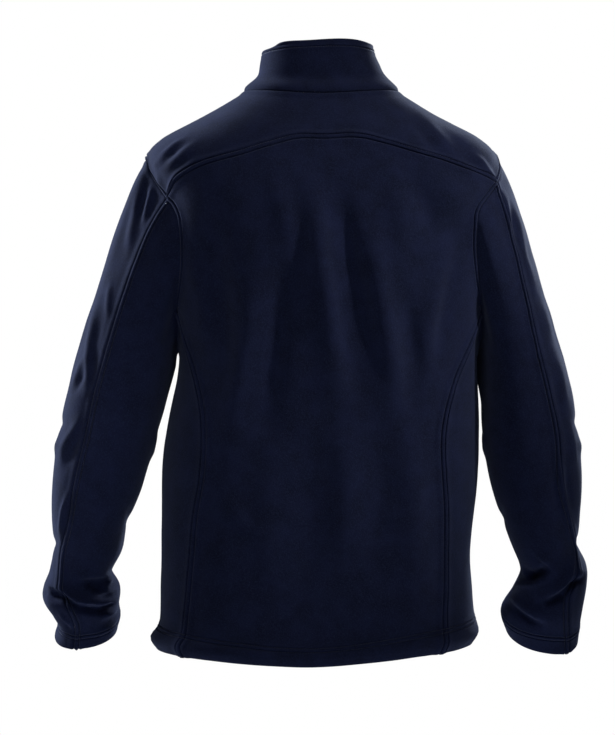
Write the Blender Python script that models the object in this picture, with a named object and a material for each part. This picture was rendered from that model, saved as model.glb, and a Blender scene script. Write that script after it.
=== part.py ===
"""Fleece zip jacket, held in the hollow shape it has when it is worn.

The cloth is a set of walls, one solid for each cut piece.  Every piece is a patch of one of
three smooth surfaces: the body (rings from the neck to the hem), the collar (rings from its
seam to its top edge) and the two sleeves (rings from the armhole to the cuff).  The outside
of a piece lies on its surface and its inside one wall further in, so pieces that share a
seam share its points and stay a seam's gap apart.

Lengths in the tables are millimetres and angles degrees.  The front faces -Y, the back +Y,
the wearer's left is +X and the origin is the middle of the neck seam.
"""
import math

import bmesh
import bpy
import numpy as np
from mathutils import Matrix, Vector

MM = 0.001

# Driving sizes
WALL = 2.4
COLLAR_WALL = 2.8
SEAM_GAP = 0.3
HEM_WALL = 4.6            # the hem is turned up once, so two thicknesses lie together
COLLAR_EDGE_WALL = 4.2    # the collar's top edge is turned in once
SECTION_SQUARE = 2.25     # superellipse power of the sleeve sections
RIM_DIAGONAL = Vector((0.35, 0.25, 0.90))   # pieces on both sides of a seam split alike

# Zip
ZIP_GAP = 7.0             # between the two front edges
TAPE_WIDTH = 15.0
TAPE_THICKNESS = 1.0
TAPE_BEHIND = 0.5         # from a front's inner face to the tape
TAPE_EDGE = 1.6           # from the middle of the zip to a tape's edge
CHAIN_WIDTH = 5.6
CHAIN_THICKNESS = 2.0
CHAIN_DEPTH = 0.5
CHAIN_TO_SLIDER = 0.5
CHAIN_TO_BOX = 1.2
SLIDER_RING = 4.45        # the slider's place on the collar
SLIDER_LENGTH = 13.0
SLIDER_WIDTH = 6.4
SLIDER_FRONT = 1.6        # how far its front plate stands out
SLIDER_REAR = 1.4
SLIDER_TO_TAPE = 0.5
SLIDER_PLATE_BACK = -0.2
POST_WIDTH = 2.4
BRIDGE_LENGTH = 11.6
BRIDGE_WIDTH = 3.2
BRIDGE_RISE = 4.2
BRIDGE_THICKNESS = 1.2
BRIDGE_ROOT = 0.4          # how far its feet reach into the slider's plate
BRIDGE_SLOPE = 0.8
PULL_LENGTH = 30.0
PULL_WIDTH = 9.0
PULL_THICKNESS = 1.6
PULL_RUNG = 1.7
PULL_WINDOW = 4.6
PULL_WINDOW_END = 7.5
PULL_AXIS_OUT = 1.5       # from the slider's front plate to the pull's axis
PULL_AXIS_UP = -3.0
STOP_RING = 5.45
STOP_NEAR, STOP_FAR = 0.4, 2.6
STOP_LENGTH = 4.4
BOX_RING = 15.5
BOX_LENGTH = 9.0
BOX_WIDTH = 6.4
BOX_OUT = 0.2
TAPE_TOP_RING, TAPE_BOTTOM_RING = 5.85, 15.85

# Rings of the body, from the neck seam to the bottom edge.  A ring is a superellipse with its
# own height at the side, the centre back and the centre front.  "lean" lowers the left side.
BODY_COLUMNS = ("ring", "side_z", "half_width", "centre_x", "back_y", "front_y",
                "back_z", "front_z", "square", "lean", "crown")
BODY_RINGS = (
    ("neck seam",        3,  97.0,  1.0,  72,  -80,   -5,  -58, 2.10,  0.0, 2.0),
    ("neck slope",     -18, 131.0,  1.5,  97, -101,  -38,  -84, 2.20,  0.0, 2.0),
    ("mid shoulder",   -38, 166.5,  2.0, 114, -115,  -65, -110, 2.30,  0.0, 2.0),
    ("shoulder edge",  -57, 202.0,  3.0, 124, -125,  -93, -135, 2.40, -1.0, 2.0),
    ("shoulder point", -81, 221.0,  1.0, 130, -132, -124, -162, 2.50, -2.0, 2.0),
    ("blade",         -125, 218.0, -9.0, 135, -137, -162, -192, 2.60, -1.0, 2.0),
    ("across back",   -176, 204.0, -7.0, 137, -140, -204, -226, 2.60,  0.0, 2.0),
    ("chest",         -250, 196.0, -8.0, 135, -141, -266, -277, 2.60,  0.0, 2.0),
    ("underarm",      -322, 188.0, -8.0, 131, -138, -330, -334, 2.60,  0.0, 2.0),
    ("ribs",          -387, 192.5, -4.5, 127, -134, -393, -393, 2.60,  0.0, 2.0),
    ("waist",         -450, 197.5,  1.0, 126, -131, -456, -452, 2.60,  0.0, 2.0),
    ("hip",           -514, 198.0,  4.5, 128, -131, -521, -512, 2.60,  0.0, 2.0),
    ("seat",          -578, 195.5,  8.0, 131, -132, -588, -574, 2.60, -2.0, 2.0),
    ("above hem",     -636, 197.5,  7.0, 134, -133, -654, -632, 2.60, -4.0, 2.0),
    ("hem stitching", -665, 200.0,  6.5, 135, -134, -688, -662, 2.60, -5.0, 2.0),
    ("hem roll",      -682, 207.5,  9.5, 137, -136, -700, -680, 2.60, -4.0, 2.0),
    ("hem edge",      -697, 199.0, 10.0, 133, -132, -711, -694, 2.60, -3.0, 2.0),
)
SHOULDER_RING, UNDERARM_RING, HEM_STITCH_RING, HEM_RING = 4.0, 8.0, 14.0, 16.0
FRONT_STRAIGHT = 0.7      # share of the rings' sideways shift that the zip takes no part in

# Rings of the collar, from its seam to its top edge
COLLAR_RINGS = (
    ("neck seam",        3,  97.0,  1.0,  72,  -80,   -5,  -58, 2.10,  0.0, 2.0),
    ("seam roll",       11,  94.5,  1.0,  71,  -81,    4,  -51, 2.10,  0.0, 2.2),
    ("crease",          21,  84.0,  0.5,  63,  -78,   14,  -41, 2.10,  0.0, 2.5),
    ("lower stand",     31,  78.5,  1.5,  60,  -79,   25,  -31, 2.15,  0.0, 3.0),
    ("upper stand",     44,  74.0,  4.0,  57,  -82,   43,  -15, 2.15, -1.0, 4.0),
    ("edge stitching",  52,  71.5,  5.0,  55,  -84,   55,   -5, 2.15, -2.0, 5.0),
    ("top edge",        58,  70.0,  5.5,  53,  -85,   64,    3, 2.15, -4.0, 5.5),
)
COLLAR_STITCH_RING, COLLAR_TOP_RING = 5.0, 6.0

# Rings of the sleeves, from the bicep to the cuff's edge.  "rise" lifts a ring's outer side,
# "drop" lowers its back, and "back_seam" is where the seam down the back of the arm lies,
# counted from the outer side towards the back.
SLEEVE_COLUMNS = ("ring", "x", "y", "z", "half_width", "half_depth", "rise", "drop", "back_seam")
LEFT_SLEEVE = (
    ("bicep",        246,  -4, -332, 61.5, 69.0, 14.0,  0.0, 69.0),
    ("upper arm",    259,   0, -378, 62.0, 66.0, 13.0,  1.0, 69.0),
    ("elbow",        272,   1, -428, 61.0, 63.0, 12.0,  4.0, 70.0),
    ("below elbow",  285,  -8, -486, 57.5, 59.0, 10.0,  9.0, 66.0),
    ("forearm",      297, -22, -541, 48.5, 54.0,  8.0, 14.0, 61.0),
    ("above wrist",  300, -33, -576, 44.0, 50.0,  4.0, 16.0, 47.0),
    ("fold notch",   310, -42, -607, 40.0, 47.0,  1.0, 18.0, 55.0),
    ("fold roll",    310, -49, -633, 50.0, 53.0, -2.0, 20.0, 76.0),
    ("under fold",   305, -55, -655, 43.0, 48.0, -4.0, 22.0, 78.0),
    ("cuff stitch",  301, -59, -670, 40.0, 45.0, -5.0, 23.0, 71.0),
    ("cuff edge",    305, -63, -687, 41.0, 44.0, -6.0, 25.0, 75.0),
)
RIGHT_SLEEVE = (
    ("bicep",       -250,  -4, -334, 52.0, 74.0, 13.0,  0.0, 68.0),
    ("upper arm",   -259,   0, -378, 57.0, 69.0, 11.0,  1.0, 67.5),
    ("elbow",       -264,   1, -428, 60.0, 64.0,  8.0,  4.0, 62.0),
    ("below elbow", -273,  -8, -489, 58.0, 59.0,  8.0,  9.0, 63.0),
    ("forearm",     -281, -22, -541, 48.5, 54.0,  7.0, 14.0, 46.0),
    ("above wrist", -287, -32, -575, 41.5, 50.0,  4.0, 16.0, 28.0),
    ("fold notch",  -297, -40, -599, 43.0, 49.0,  0.0, 18.0, 48.0),
    ("fold roll",   -298, -45, -617, 43.0, 51.0, -3.0, 20.0, 70.0),
    ("under fold",  -291, -52, -643, 46.0, 53.0, -6.0, 22.0, 63.0),
    ("cuff stitch", -283, -59, -668, 51.0, 48.0, -8.0, 26.0, 52.0),
    ("cuff edge",   -285, -65, -690, 47.0, 46.0, -9.0, 29.0, 49.0),
)
CUFF_STITCH_RING, CUFF_RING = 10.0, 11.0    # counted from the armhole, which is ring 0

# Armhole: a closed curve on the body, from the shoulder point round the back to the underarm
ARMHOLE_UNDER_SPREAD = 20.0    # angles from the side of the body
ARMHOLE_FRONT_SPREAD = 21.0
# Its back half on the left (1) and right (-1): place round it, angle from the side, body ring
ARMHOLE_BACK = {
    1: ((0, 0.0, 4.0), (20, 8.5, 4.13), (40, 11.8, 4.58), (58, 19.0, 5.16), (70, 22.6, 5.44),
        (82, 24.8, 5.78), (94, 25.2, 6.14), (106, 23.6, 6.60), (118, 20.2, 6.97),
        (130, 15.32, 7.286)),
    -1: ((0, 0.0, 4.0), (20, 4.0, 4.14), (40, 9.2, 4.48), (58, 15.9, 4.80), (70, 23.0, 5.19),
         (82, 25.9, 5.50), (94, 25.0, 5.90), (106, 23.5, 6.40), (118, 20.8, 6.88),
         (130, 15.32, 7.286)),
}
# Where pieces meet on the armhole, counted from the shoulder point towards the back
YOKE_FRONT_AT, YOKE_BACK_AT = -40.0, 58.0
SIDE_BACK_AT, SIDE_FRONT_AT = 130.0, 230.0
TOP_STEPS, BACK_STEPS, UNDER_STEPS, FRONT_STEPS = 7, 6, 6, 8
BACK_SEAM_STEP, UNDER_SEAM_STEP = 7, 20     # the sleeve seams start at these armhole points

# Directions in which a sleeve leaves its armhole (outward, back, up)
LEAVE_TOP = (0.62, 0.00, -0.78)
LEAVE_BACK = {1: (0.74, 0.20, -0.64), -1: (0.30, 0.22, -0.93)}
LEAVE_UNDER = (0.90, 0.00, -0.44)
LEAVE_FRONT = (0.74, -0.20, -0.64)
LEAVE_PULL, ARRIVE_PULL = 0.60, 0.70

# Seams on the body: angle from the side towards the back or front, at ring numbers
YOKE_NECK_FRONT = -36.0    # where the yoke's front seam meets the neck
YOKE_NECK_BACK = 26.0      # yoke column that runs to the armhole's back corner
# Back yoke seam: share of the way from the left armhole to the right one, and ring number
YOKE_SEAM = ((0.00, 5.16), (0.035, 4.73), (0.086, 4.31), (0.187, 3.50), (0.288, 2.68),
             (0.37, 2.18), (0.51, 2.04), (0.66, 2.22), (0.765, 2.95), (0.835, 3.68),
             (0.90, 4.24), (0.95, 4.54), (1.00, 4.80))
# Long seams of the back and the front: ring number, angle from the left and the right side
BACK_SEAMS = ((7.29, 15.3, 15.3), (7.85, 21.5, 23.0), (8.40, 27.0, 29.0), (9.00, 32.0, 33.0),
              (9.60, 34.7, 34.5), (10.4, 35.5, 33.4), (11.2, 34.0, 31.8), (12.0, 33.6, 31.2),
              (13.2, 31.8, 33.2), (16.0, 31.0, 33.5))
FRONT_SEAMS = ((7.29, 16.1, 16.1), (8.00, 22.0, 22.0), (9.00, 27.0, 27.0), (11.0, 29.0, 29.0),
               (16.0, 30.0, 30.0))

BACK_COLUMNS = 16
FRONT_COLUMNS = 9
YOKE_ROWS = 5
CAP_ROWS = 8
LOW_ROWS = (7.65, 8.0, 8.4, 8.8, 9.2, 9.6, 10.05, 10.5, 11.0, 11.5, 12.0, 12.5, 13.0, 13.5,
            14.0, 14.12, 14.6, 15.1, 15.6, 16.0)
SLEEVE_ROWS = (1.6, 2.2, 2.8, 3.4, 4.0, 4.5, 5.0, 5.5, 6.0, 6.5, 7.0, 7.5, 8.0, 8.5, 9.0,
               9.5, 10.0, 10.12, 10.55, 11.0)
COLLAR_ROWS = (0.0, 0.6, 1.2, 2.0, 3.0, 4.0, 5.0, 5.15, 6.0)

# Largest soft folds of the back: a ridge (or a trough, if its height is below zero) between
# two points of the back view
FOLD_COLUMNS = ("fold", "x0", "z0", "x1", "z1", "width", "height")
BACK_FOLDS = (
    ("long ridge",        22, -105,  -18, -400, 20,  4.5),
    ("long valley",      -16, -140,  -50, -390, 18, -4.5),
    ("right ridge",      -58, -180,  -88, -410, 20,  4.0),
    ("right valley",    -100, -280, -110, -390, 14, -2.5),
    ("left valley",       44, -230,   70, -430, 20, -3.5),
    ("left ridge",        86, -240,  116, -440, 20,  3.5),
    ("low right ridge", -106, -430, -116, -630, 24,  3.5),
    ("low long ridge",   -28, -430,  -30, -560, 24,  3.0),
    ("shoulder ridge",  -135, -107, -159, -136, 18,  3.0),
    ("shoulder valley", -118, -122, -162, -184, 20, -3.5),
    ("left blade edge",  168, -160,  166, -330, 16,  4.0),
    ("right blade edge", -186, -160, -184, -350, 16,  4.0),
)

COLOURS = {
    "fleece": ((0.010, 0.014, 0.034), 0.95, 0.0),
    "tape": ((0.008, 0.010, 0.022), 0.85, 0.0),
    "chain": ((0.010, 0.012, 0.024), 0.40, 0.0),
    "metal": ((0.020, 0.022, 0.030), 0.38, 0.8),
}


def table(columns, rows):
    """Turn rows with named columns into one array for each column."""
    return {name: np.array([row[i] for row in rows], dtype=object if i == 0 and
                           isinstance(rows[0][0], str) else float)
            for i, name in enumerate(columns)}


def smooth(values, at):
    """Value of a table's column at a ring number, on a cubic that passes through the rows."""
    values = np.asarray(values, float)
    last = len(values) - 1
    at = np.clip(np.asarray(at, float), 0, last)
    low = np.minimum(at.astype(int), last - 1)
    part = at - low
    start, end = values[low], values[low + 1]
    before = np.where(low > 0, values[np.maximum(low - 1, 0)], 2 * start - end)
    after = np.where(low < last - 1, values[np.minimum(low + 2, last)], 2 * end - start)
    slope_in, slope_out = (end - before) / 2, (after - start) / 2
    return hermite(start, end, slope_in, slope_out, part)


def hermite(start, end, slope_in, slope_out, part):
    """Cubic between two values with given slopes."""
    square, cube = part ** 2, part ** 3
    return (start * (2 * cube - 3 * square + 1) + slope_in * (cube - 2 * square + part)
            + end * (3 * square - 2 * cube) + slope_out * (cube - square))


BODY = table(BODY_COLUMNS, BODY_RINGS)
COLLAR = table(BODY_COLUMNS, COLLAR_RINGS)
SLEEVES = {1: table(SLEEVE_COLUMNS, LEFT_SLEEVE), -1: table(SLEEVE_COLUMNS, RIGHT_SLEEVE)}


def fold_height(x, z):
    """How far the back's soft folds stand out at a place of the back view."""
    total = np.zeros(np.shape(x))
    for row in BACK_FOLDS:
        fold = dict(zip(FOLD_COLUMNS, row))
        along_x, along_z = fold["x1"] - fold["x0"], fold["z1"] - fold["z0"]
        length = math.hypot(along_x, along_z)
        right, up = x - fold["x0"], z - fold["z0"]
        run = (right * along_x + up * along_z) / length ** 2
        across = (right * along_z - up * along_x) / length / fold["width"]
        past_end = np.maximum(np.abs(run - 0.5) - 0.35, 0) * length / (2 * fold["width"])
        total = total + fold["height"] * np.exp(-across ** 2 - past_end ** 2)
    return total


def ring_surface(rings, degrees, number, folds=False):
    """Points of the body or the collar at an angle and a ring number."""
    angle = np.radians(degrees)
    cosine, sine = np.cos(angle), np.sin(angle)
    back = sine > 0
    column = {name: smooth(rings[name], number) for name in BODY_COLUMNS[1:]}
    depth = np.where(back, column["back_y"], -column["front_y"])
    power = column["square"]
    reach = (np.abs(cosine / column["half_width"]) ** power
             + np.abs(sine / depth) ** power) ** (-1 / power)
    middle_z = np.where(back, column["back_z"], column["front_z"])
    crown = np.where(back, column["crown"], 2.0)
    towards_middle = 1 - np.abs(cosine) ** crown
    z = (column["side_z"] + (middle_z - column["side_z"]) * towards_middle
         + column["lean"] * cosine)
    centre = column["centre_x"] * (1 - FRONT_STRAIGHT * np.clip(-sine, 0, 1) ** 2)
    if folds:
        x = centre + reach * cosine
        reach = reach + fold_height(x, z) * np.clip(sine * 3, 0, 1)
    return np.stack([centre + reach * cosine, reach * sine, z], axis=-1)


def body_surface(degrees, number):
    return ring_surface(BODY, degrees, number, folds=True)


def collar_surface(degrees, number):
    return ring_surface(COLLAR, degrees, number)


def side_angle(side, degrees):
    """Angle on the body, counted from the left or the right side towards the back."""
    return degrees if side > 0 else 180.0 - degrees


def through(rows, column, at):
    """Smooth value of a short table's column, where the first column says how far along."""
    along = np.array([row[0] for row in rows])
    values = np.array([row[column] for row in rows])
    slopes = np.gradient(values, along)
    at = np.clip(np.asarray(at, float), along[0], along[-1])
    low = np.clip(np.searchsorted(along, at, side="right") - 1, 0, len(along) - 2)
    width = along[low + 1] - along[low]
    return hermite(values[low], values[low + 1], slopes[low] * width, slopes[low + 1] * width,
                   (at - along[low]) / width)


def armhole(side, around):
    """Angle from the side, and ring number, of a place on the left or the right armhole."""
    around = np.asarray(around, float) % 360
    turn = np.radians(around)
    spread = np.where(np.sin(turn) > 0, ARMHOLE_UNDER_SPREAD, ARMHOLE_FRONT_SPREAD)
    number = SHOULDER_RING + (UNDERARM_RING - SHOULDER_RING) * (1 - np.cos(turn)) / 2
    behind = around <= SIDE_BACK_AT
    rows = ARMHOLE_BACK[side]
    return (np.where(behind, through(rows, 1, around), spread * np.sin(turn)),
            np.where(behind, through(rows, 2, around), number))


def armhole_places():
    """Places round the armhole that the pieces on both sides of its seam share."""
    stops = (YOKE_FRONT_AT, YOKE_BACK_AT, SIDE_BACK_AT, SIDE_FRONT_AT, YOKE_FRONT_AT + 360)
    steps = (TOP_STEPS, BACK_STEPS, UNDER_STEPS, FRONT_STEPS)
    places = [np.linspace(stops[i], stops[i + 1], steps[i] + 1)[:-1] for i in range(4)]
    return np.concatenate(places + [[YOKE_FRONT_AT + 360]])


PLACES = armhole_places()


def section(rings, side, around, number):
    """Points of a sleeve's ring: number 0 is the table's first row."""
    column = {name: smooth(rings[name], number) for name in SLEEVE_COLUMNS[1:]}
    turn = np.radians(around)
    bulge = 2 / SECTION_SQUARE
    out = column["half_width"] * np.sign(np.cos(turn)) * np.abs(np.cos(turn)) ** bulge
    rear = column["half_depth"] * np.sign(np.sin(turn)) * np.abs(np.sin(turn)) ** bulge
    rise, drop = np.radians(column["rise"]), np.radians(column["drop"])
    return np.stack([column["x"] + side * out * np.cos(rise), column["y"] + rear * np.cos(drop),
                     column["z"] + out * np.sin(rise) - rear * np.sin(drop)], axis=-1)


def warped(rings, around, number):
    """Place round a sleeve's ring after its columns have turned with the back seam."""
    start, end = PLACES[UNDER_SEAM_STEP] - 360, PLACES[UNDER_SEAM_STEP]
    seam = PLACES[BACK_SEAM_STEP]
    moved = smooth(rings["back_seam"], number)
    over = start + (around - start) * (moved - start) / (seam - start)
    under = moved + (around - seam) * (end - moved) / (end - seam)
    return np.where(around <= seam, over, under)


def sleeve_surface(side, around, number):
    """Points of a sleeve: number 0 is the armhole, 1 the bicep ring, then down the table."""
    rings = SLEEVES[side]
    around, number = np.broadcast_arrays(np.asarray(around, float), np.asarray(number, float))
    lower = section(rings, side, warped(rings, around, number - 1), number - 1)
    degrees, ring = armhole(side, around)
    start = body_surface(side_angle(side, degrees), ring)
    end_place = warped(rings, around, 0.0)
    end = section(rings, side, end_place, 0.0)
    arrive = section(rings, side, end_place, 0.05) - end
    arrive /= np.linalg.norm(arrive, axis=-1, keepdims=True)
    turn = np.radians(around)[..., None]
    top, under = np.maximum(np.cos(turn), 0) ** 2, np.maximum(-np.cos(turn), 0) ** 2
    back, front = np.maximum(np.sin(turn), 0) ** 2, np.maximum(-np.sin(turn), 0) ** 2
    leave = (top * np.array(LEAVE_TOP) + under * np.array(LEAVE_UNDER)
             + back * np.array(LEAVE_BACK[side]) + front * np.array(LEAVE_FRONT))
    leave = leave * np.array([side, 1, 1])
    leave /= np.linalg.norm(leave, axis=-1, keepdims=True)
    length = np.linalg.norm(end - start, axis=-1, keepdims=True)
    cap = hermite(start, end, leave * length * LEAVE_PULL, arrive * length * ARRIVE_PULL,
                  np.clip(number, 0, 1)[..., None])
    return np.where((number < 1)[..., None], cap, lower)


def normals(surface, first, second, second_range, flip=1.0):
    """Outward unit normals of a surface, from small steps along both of its directions."""
    small_first, small_second = 0.25, 0.01
    low = np.clip(second - small_second, *second_range)
    high = np.clip(second + small_second, *second_range)
    along = surface(first, high) - surface(first, low)
    across = surface(first + small_first, second) - surface(first - small_first, second)
    out = np.cross(along, across) * flip
    return out / np.linalg.norm(out, axis=-1, keepdims=True)


def body_normals(degrees, number):
    return normals(body_surface, degrees, number, (0, HEM_RING))


def collar_normals(degrees, number):
    """The collar's rings climb, so its direction of travel is the other way."""
    return normals(collar_surface, degrees, number, (0, COLLAR_TOP_RING), flip=-1.0)


def sleeve_normals(side, around, number):
    def surface(first, second):
        return sleeve_surface(side, first, second)
    return normals(surface, around, number, (0, CUFF_RING), flip=side)


def mitre(one, other):
    """Vector whose part along either normal is one, so two walls meet without overlap."""
    both = np.sum(one * other, axis=-1, keepdims=True)
    return (one + other) / np.maximum(1 + both, 0.35)


def armhole_mitre(side, around):
    """Wall direction on the armhole seam, shared by the body's pieces and the sleeve."""
    degrees, number = armhole(side, around)
    body = body_normals(side_angle(side, degrees), number)
    return mitre(body, sleeve_normals(side, around, np.zeros(np.shape(around))))


def neck_mitre(degrees):
    zero = np.zeros(np.shape(degrees))
    return mitre(body_normals(degrees, zero), collar_normals(degrees, zero))


def open_seams(outer, wall):
    """Draw the four edges of a patch in by half the seam's gap."""
    shift = np.zeros(outer.shape)
    for flip in (False, True):
        grid = np.swapaxes(outer, 0, 1) if flip else outer
        moves = np.swapaxes(shift, 0, 1) if flip else shift
        width = np.swapaxes(wall, 0, 1) if flip else wall
        for edge, inner in ((0, 1), (-1, -2)):
            inward = grid[inner] - grid[edge]
            tangent = np.gradient(grid[edge], axis=0)
            tangent /= np.linalg.norm(tangent, axis=-1, keepdims=True)
            inward = inward - np.sum(inward * tangent, axis=-1, keepdims=True) * tangent
            inward /= np.linalg.norm(inward, axis=-1, keepdims=True)
            moves[edge] += inward * SEAM_GAP / 2 * np.linalg.norm(width[edge], axis=-1,
                                                                 keepdims=True)
    return outer + shift


def material(name):
    """Principled material with one of the jacket's plain finishes."""
    if name in bpy.data.materials:
        return bpy.data.materials[name]
    colour, roughness, metallic = COLOURS[name]
    finish = bpy.data.materials.new(name)
    finish.use_nodes = True
    shader = finish.node_tree.nodes["Principled BSDF"]
    shader.inputs["Base Color"].default_value = (*colour, 1.0)
    shader.inputs["Roughness"].default_value = roughness
    shader.inputs["Metallic"].default_value = metallic
    return finish


def add_object(name, mesh, finish):
    """Put a mesh into the jacket's collection with its own copy of a finish."""
    thing = bpy.data.objects.new(name, mesh)
    own = material(finish).copy()
    own.name = name + "_" + finish
    mesh.materials.append(own)
    bpy.data.collections["fleece_zip_jacket"].objects.link(thing)
    return thing


def wall_solid(name, outer, inner, finish="fleece"):
    """Closed wall between an outer and an inner grid of points, in millimetres."""
    rows, columns = outer.shape[:2]
    form = bmesh.new()
    grids = [[[form.verts.new(Vector(point) * MM) for point in row] for row in grid]
             for grid in (outer, inner)]
    rim = [(0, j) for j in range(columns)] + [(i, columns - 1) for i in range(1, rows)]
    rim += [(rows - 1, j) for j in range(columns - 2, -1, -1)]
    rim += [(i, 0) for i in range(rows - 2, 0, -1)]
    for i in range(rows - 1):
        for j in range(columns - 1):
            corners = ((i, j), (i, j + 1), (i + 1, j + 1), (i + 1, j))
            form.faces.new([grids[0][a][b] for a, b in corners])
            form.faces.new([grids[1][a][b] for a, b in reversed(corners)])
    for (a, b), (c, d) in zip(rim, rim[1:] + rim[:1]):
        first, second = grids[0][a][b], grids[0][c][d]
        under_first, under_second = grids[1][a][b], grids[1][c][d]
        if first.co.dot(RIM_DIAGONAL) > second.co.dot(RIM_DIAGONAL):
            form.faces.new([second, first, under_second])
            form.faces.new([first, under_first, under_second])
        else:
            form.faces.new([second, first, under_first])
            form.faces.new([second, under_first, under_second])
    bmesh.ops.recalc_face_normals(form, faces=form.faces)
    mesh = bpy.data.meshes.new(name)
    form.to_mesh(mesh)
    form.free()
    mesh.shade_smooth()
    return add_object(name, mesh, finish)


def cloth_panel(name, outer, direction, wall):
    """Wall of cloth: its outer points, the direction of its thickness, and the thickness."""
    outer = open_seams(outer, direction)
    return wall_solid(name, outer, outer - direction * np.asarray(wall)[..., None])


def corner_ring():
    """Ring number of the armhole's lower corners, where the long seams start."""
    return float(armhole(1, SIDE_BACK_AT)[1])


def side_edge(side, front, number):
    """Angle from the side of a panel's edge: the armhole, and the long seam below it."""
    number = np.asarray(number, float)
    along = np.clip((number - SHOULDER_RING) / (UNDERARM_RING - SHOULDER_RING), 0, 1)
    on_armhole = (ARMHOLE_FRONT_SPREAD * np.sin(np.arccos(1 - 2 * along)) if front
                  else armhole(side, SIDE_BACK_AT)[0])
    seam = through(FRONT_SEAMS if front else BACK_SEAMS, 1 if side > 0 else 2, number)
    return np.where(number <= corner_ring() + 1e-6, on_armhole, seam)


def low_rows():
    """Ring numbers of the rows below the armhole's lower corners, down to the hem."""
    return np.array([corner_ring(), *LOW_ROWS])


def hem_wall(numbers, thick):
    """Wall of each row: the turned hem is two thicknesses."""
    return np.where(np.asarray(numbers) > HEM_STITCH_RING + 0.05, thick, WALL)


def back_edge(side, places):
    """Angle from the side, and ring number, down the back's edge: the armhole, then the seam."""
    degrees, number = armhole(side, places)
    low = low_rows()[1:]
    return (np.concatenate([degrees, side_edge(side, False, low)])[:, None],
            np.concatenate([number, low])[:, None])


def back_panel():
    """Centre back, from the yoke seam between the armholes and long seams to the hem."""
    places = PLACES[TOP_STEPS:TOP_STEPS + BACK_STEPS + 1]
    (left, left_ring), (right, right_ring) = back_edge(1, places), back_edge(-1, places)
    share = np.linspace(0, 1, BACK_COLUMNS + 1)
    number = left_ring + (right_ring - left_ring) * share
    middle = (left_ring + right_ring) / 2
    fade = np.clip(1 - (middle - middle[0]) / 2.4, 0, 1) ** 1.5
    number = number + fade * (yoke_seam_ring(share) - number[0])
    degrees = left + (180 - right - left) * share
    outer, direction = body_surface(degrees, number), body_normals(degrees, number)
    for side, column in ((1, 0), (-1, -1)):
        direction[:len(places), column] = armhole_mitre(side, places)
    wall = hem_wall(middle, HEM_WALL) * np.ones(BACK_COLUMNS + 1)
    cloth_panel("back", outer, direction, wall)


def yoke_seam_ring(share):
    """Ring number of the back yoke seam, from the left armhole (0) to the right one (1)."""
    return through(YOKE_SEAM, 1, share)


def yoke_columns():
    """Upper and lower end of each yoke column: angle at the neck, then angle and ring."""
    places = PLACES[:TOP_STEPS + 1]
    (left, left_ring), (right, right_ring) = armhole(1, places), armhole(-1, places)
    neck = np.linspace(YOKE_NECK_FRONT, YOKE_NECK_BACK, TOP_STEPS + 1)
    share = np.linspace(0, 1, BACK_COLUMNS + 1)[1:-1]
    middle = left[-1] + (180 - right[-1] - left[-1]) * share
    neck_middle = YOKE_NECK_BACK + (180 - 2 * YOKE_NECK_BACK) * share
    upper = np.concatenate([neck, neck_middle, 180 - neck[::-1]])
    lower = np.concatenate([left, middle, 180 - right[::-1]])
    ring = np.concatenate([left_ring, yoke_seam_ring(share), right_ring[::-1]])
    return upper, lower, ring


def yoke_panel():
    """Yoke: over both shoulders from the back seam to the front seams, round the neck."""
    upper, lower, ring = yoke_columns()
    down = np.linspace(0, 1, YOKE_ROWS + 1)[:, None]
    degrees, number = upper + (lower - upper) * down, ring * down
    outer, direction = body_surface(degrees, number), body_normals(degrees, number)
    direction[0] = neck_mitre(degrees[0])
    places = PLACES[:TOP_STEPS + 1]
    direction[-1, :TOP_STEPS + 1] = armhole_mitre(1, places)
    direction[-1, -TOP_STEPS - 1:] = armhole_mitre(-1, places)[::-1]
    cloth_panel("yoke", outer, direction, np.full(number.shape, WALL))


def front_columns(number, edge):
    """Angles across a front: the zip's edge, a narrow column beside it, then evenly."""
    forward = -smooth(BODY["front_y"], number)
    zip_edge = 90 - np.degrees(np.arcsin(ZIP_GAP / 2 / forward))
    beside = 90 - np.degrees(np.arcsin((ZIP_GAP / 2 + TAPE_WIDTH) / forward))
    even = np.linspace(0, 1, FRONT_COLUMNS - 1)
    return np.concatenate([[zip_edge], beside + (edge - beside) * even])


def front_rows():
    """Ring numbers of a front's rows: beside the yoke, on the armhole, then below it."""
    corner = float(armhole(1, YOKE_FRONT_AT)[1])
    shoulder = np.linspace(0, corner, YOKE_ROWS + 1)
    places = PLACES[-1:-FRONT_STEPS - 2:-1]
    return np.concatenate([shoulder, armhole(1, places)[1][1:], low_rows()[1:]])


def front_panel(side):
    """One front, from the zip to the yoke's seam, the armhole and the long seam."""
    numbers = front_rows()
    corner_degrees = -float(armhole(side, YOKE_FRONT_AT)[0])
    edge = side_edge(side, True, numbers)
    shoulder = np.linspace(-YOKE_NECK_FRONT, corner_degrees, YOKE_ROWS + 1)
    edge[:YOKE_ROWS + 1] = shoulder
    from_side = np.array([front_columns(n, e) for n, e in zip(numbers, edge)])
    degrees = side_angle(side, -from_side)
    number = numbers[:, None] * np.ones(from_side.shape[1])
    outer, direction = body_surface(degrees, number), body_normals(degrees, number)
    direction[0] = neck_mitre(degrees[0])
    places = PLACES[-1:-FRONT_STEPS - 2:-1]
    direction[YOKE_ROWS:YOKE_ROWS + FRONT_STEPS + 1, -1] = armhole_mitre(side, places)
    wall = hem_wall(number, HEM_WALL)
    wall[:, :2] = WALL
    name = "front_left" if side > 0 else "front_right"
    cloth_panel(name, outer, direction, wall)


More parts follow.
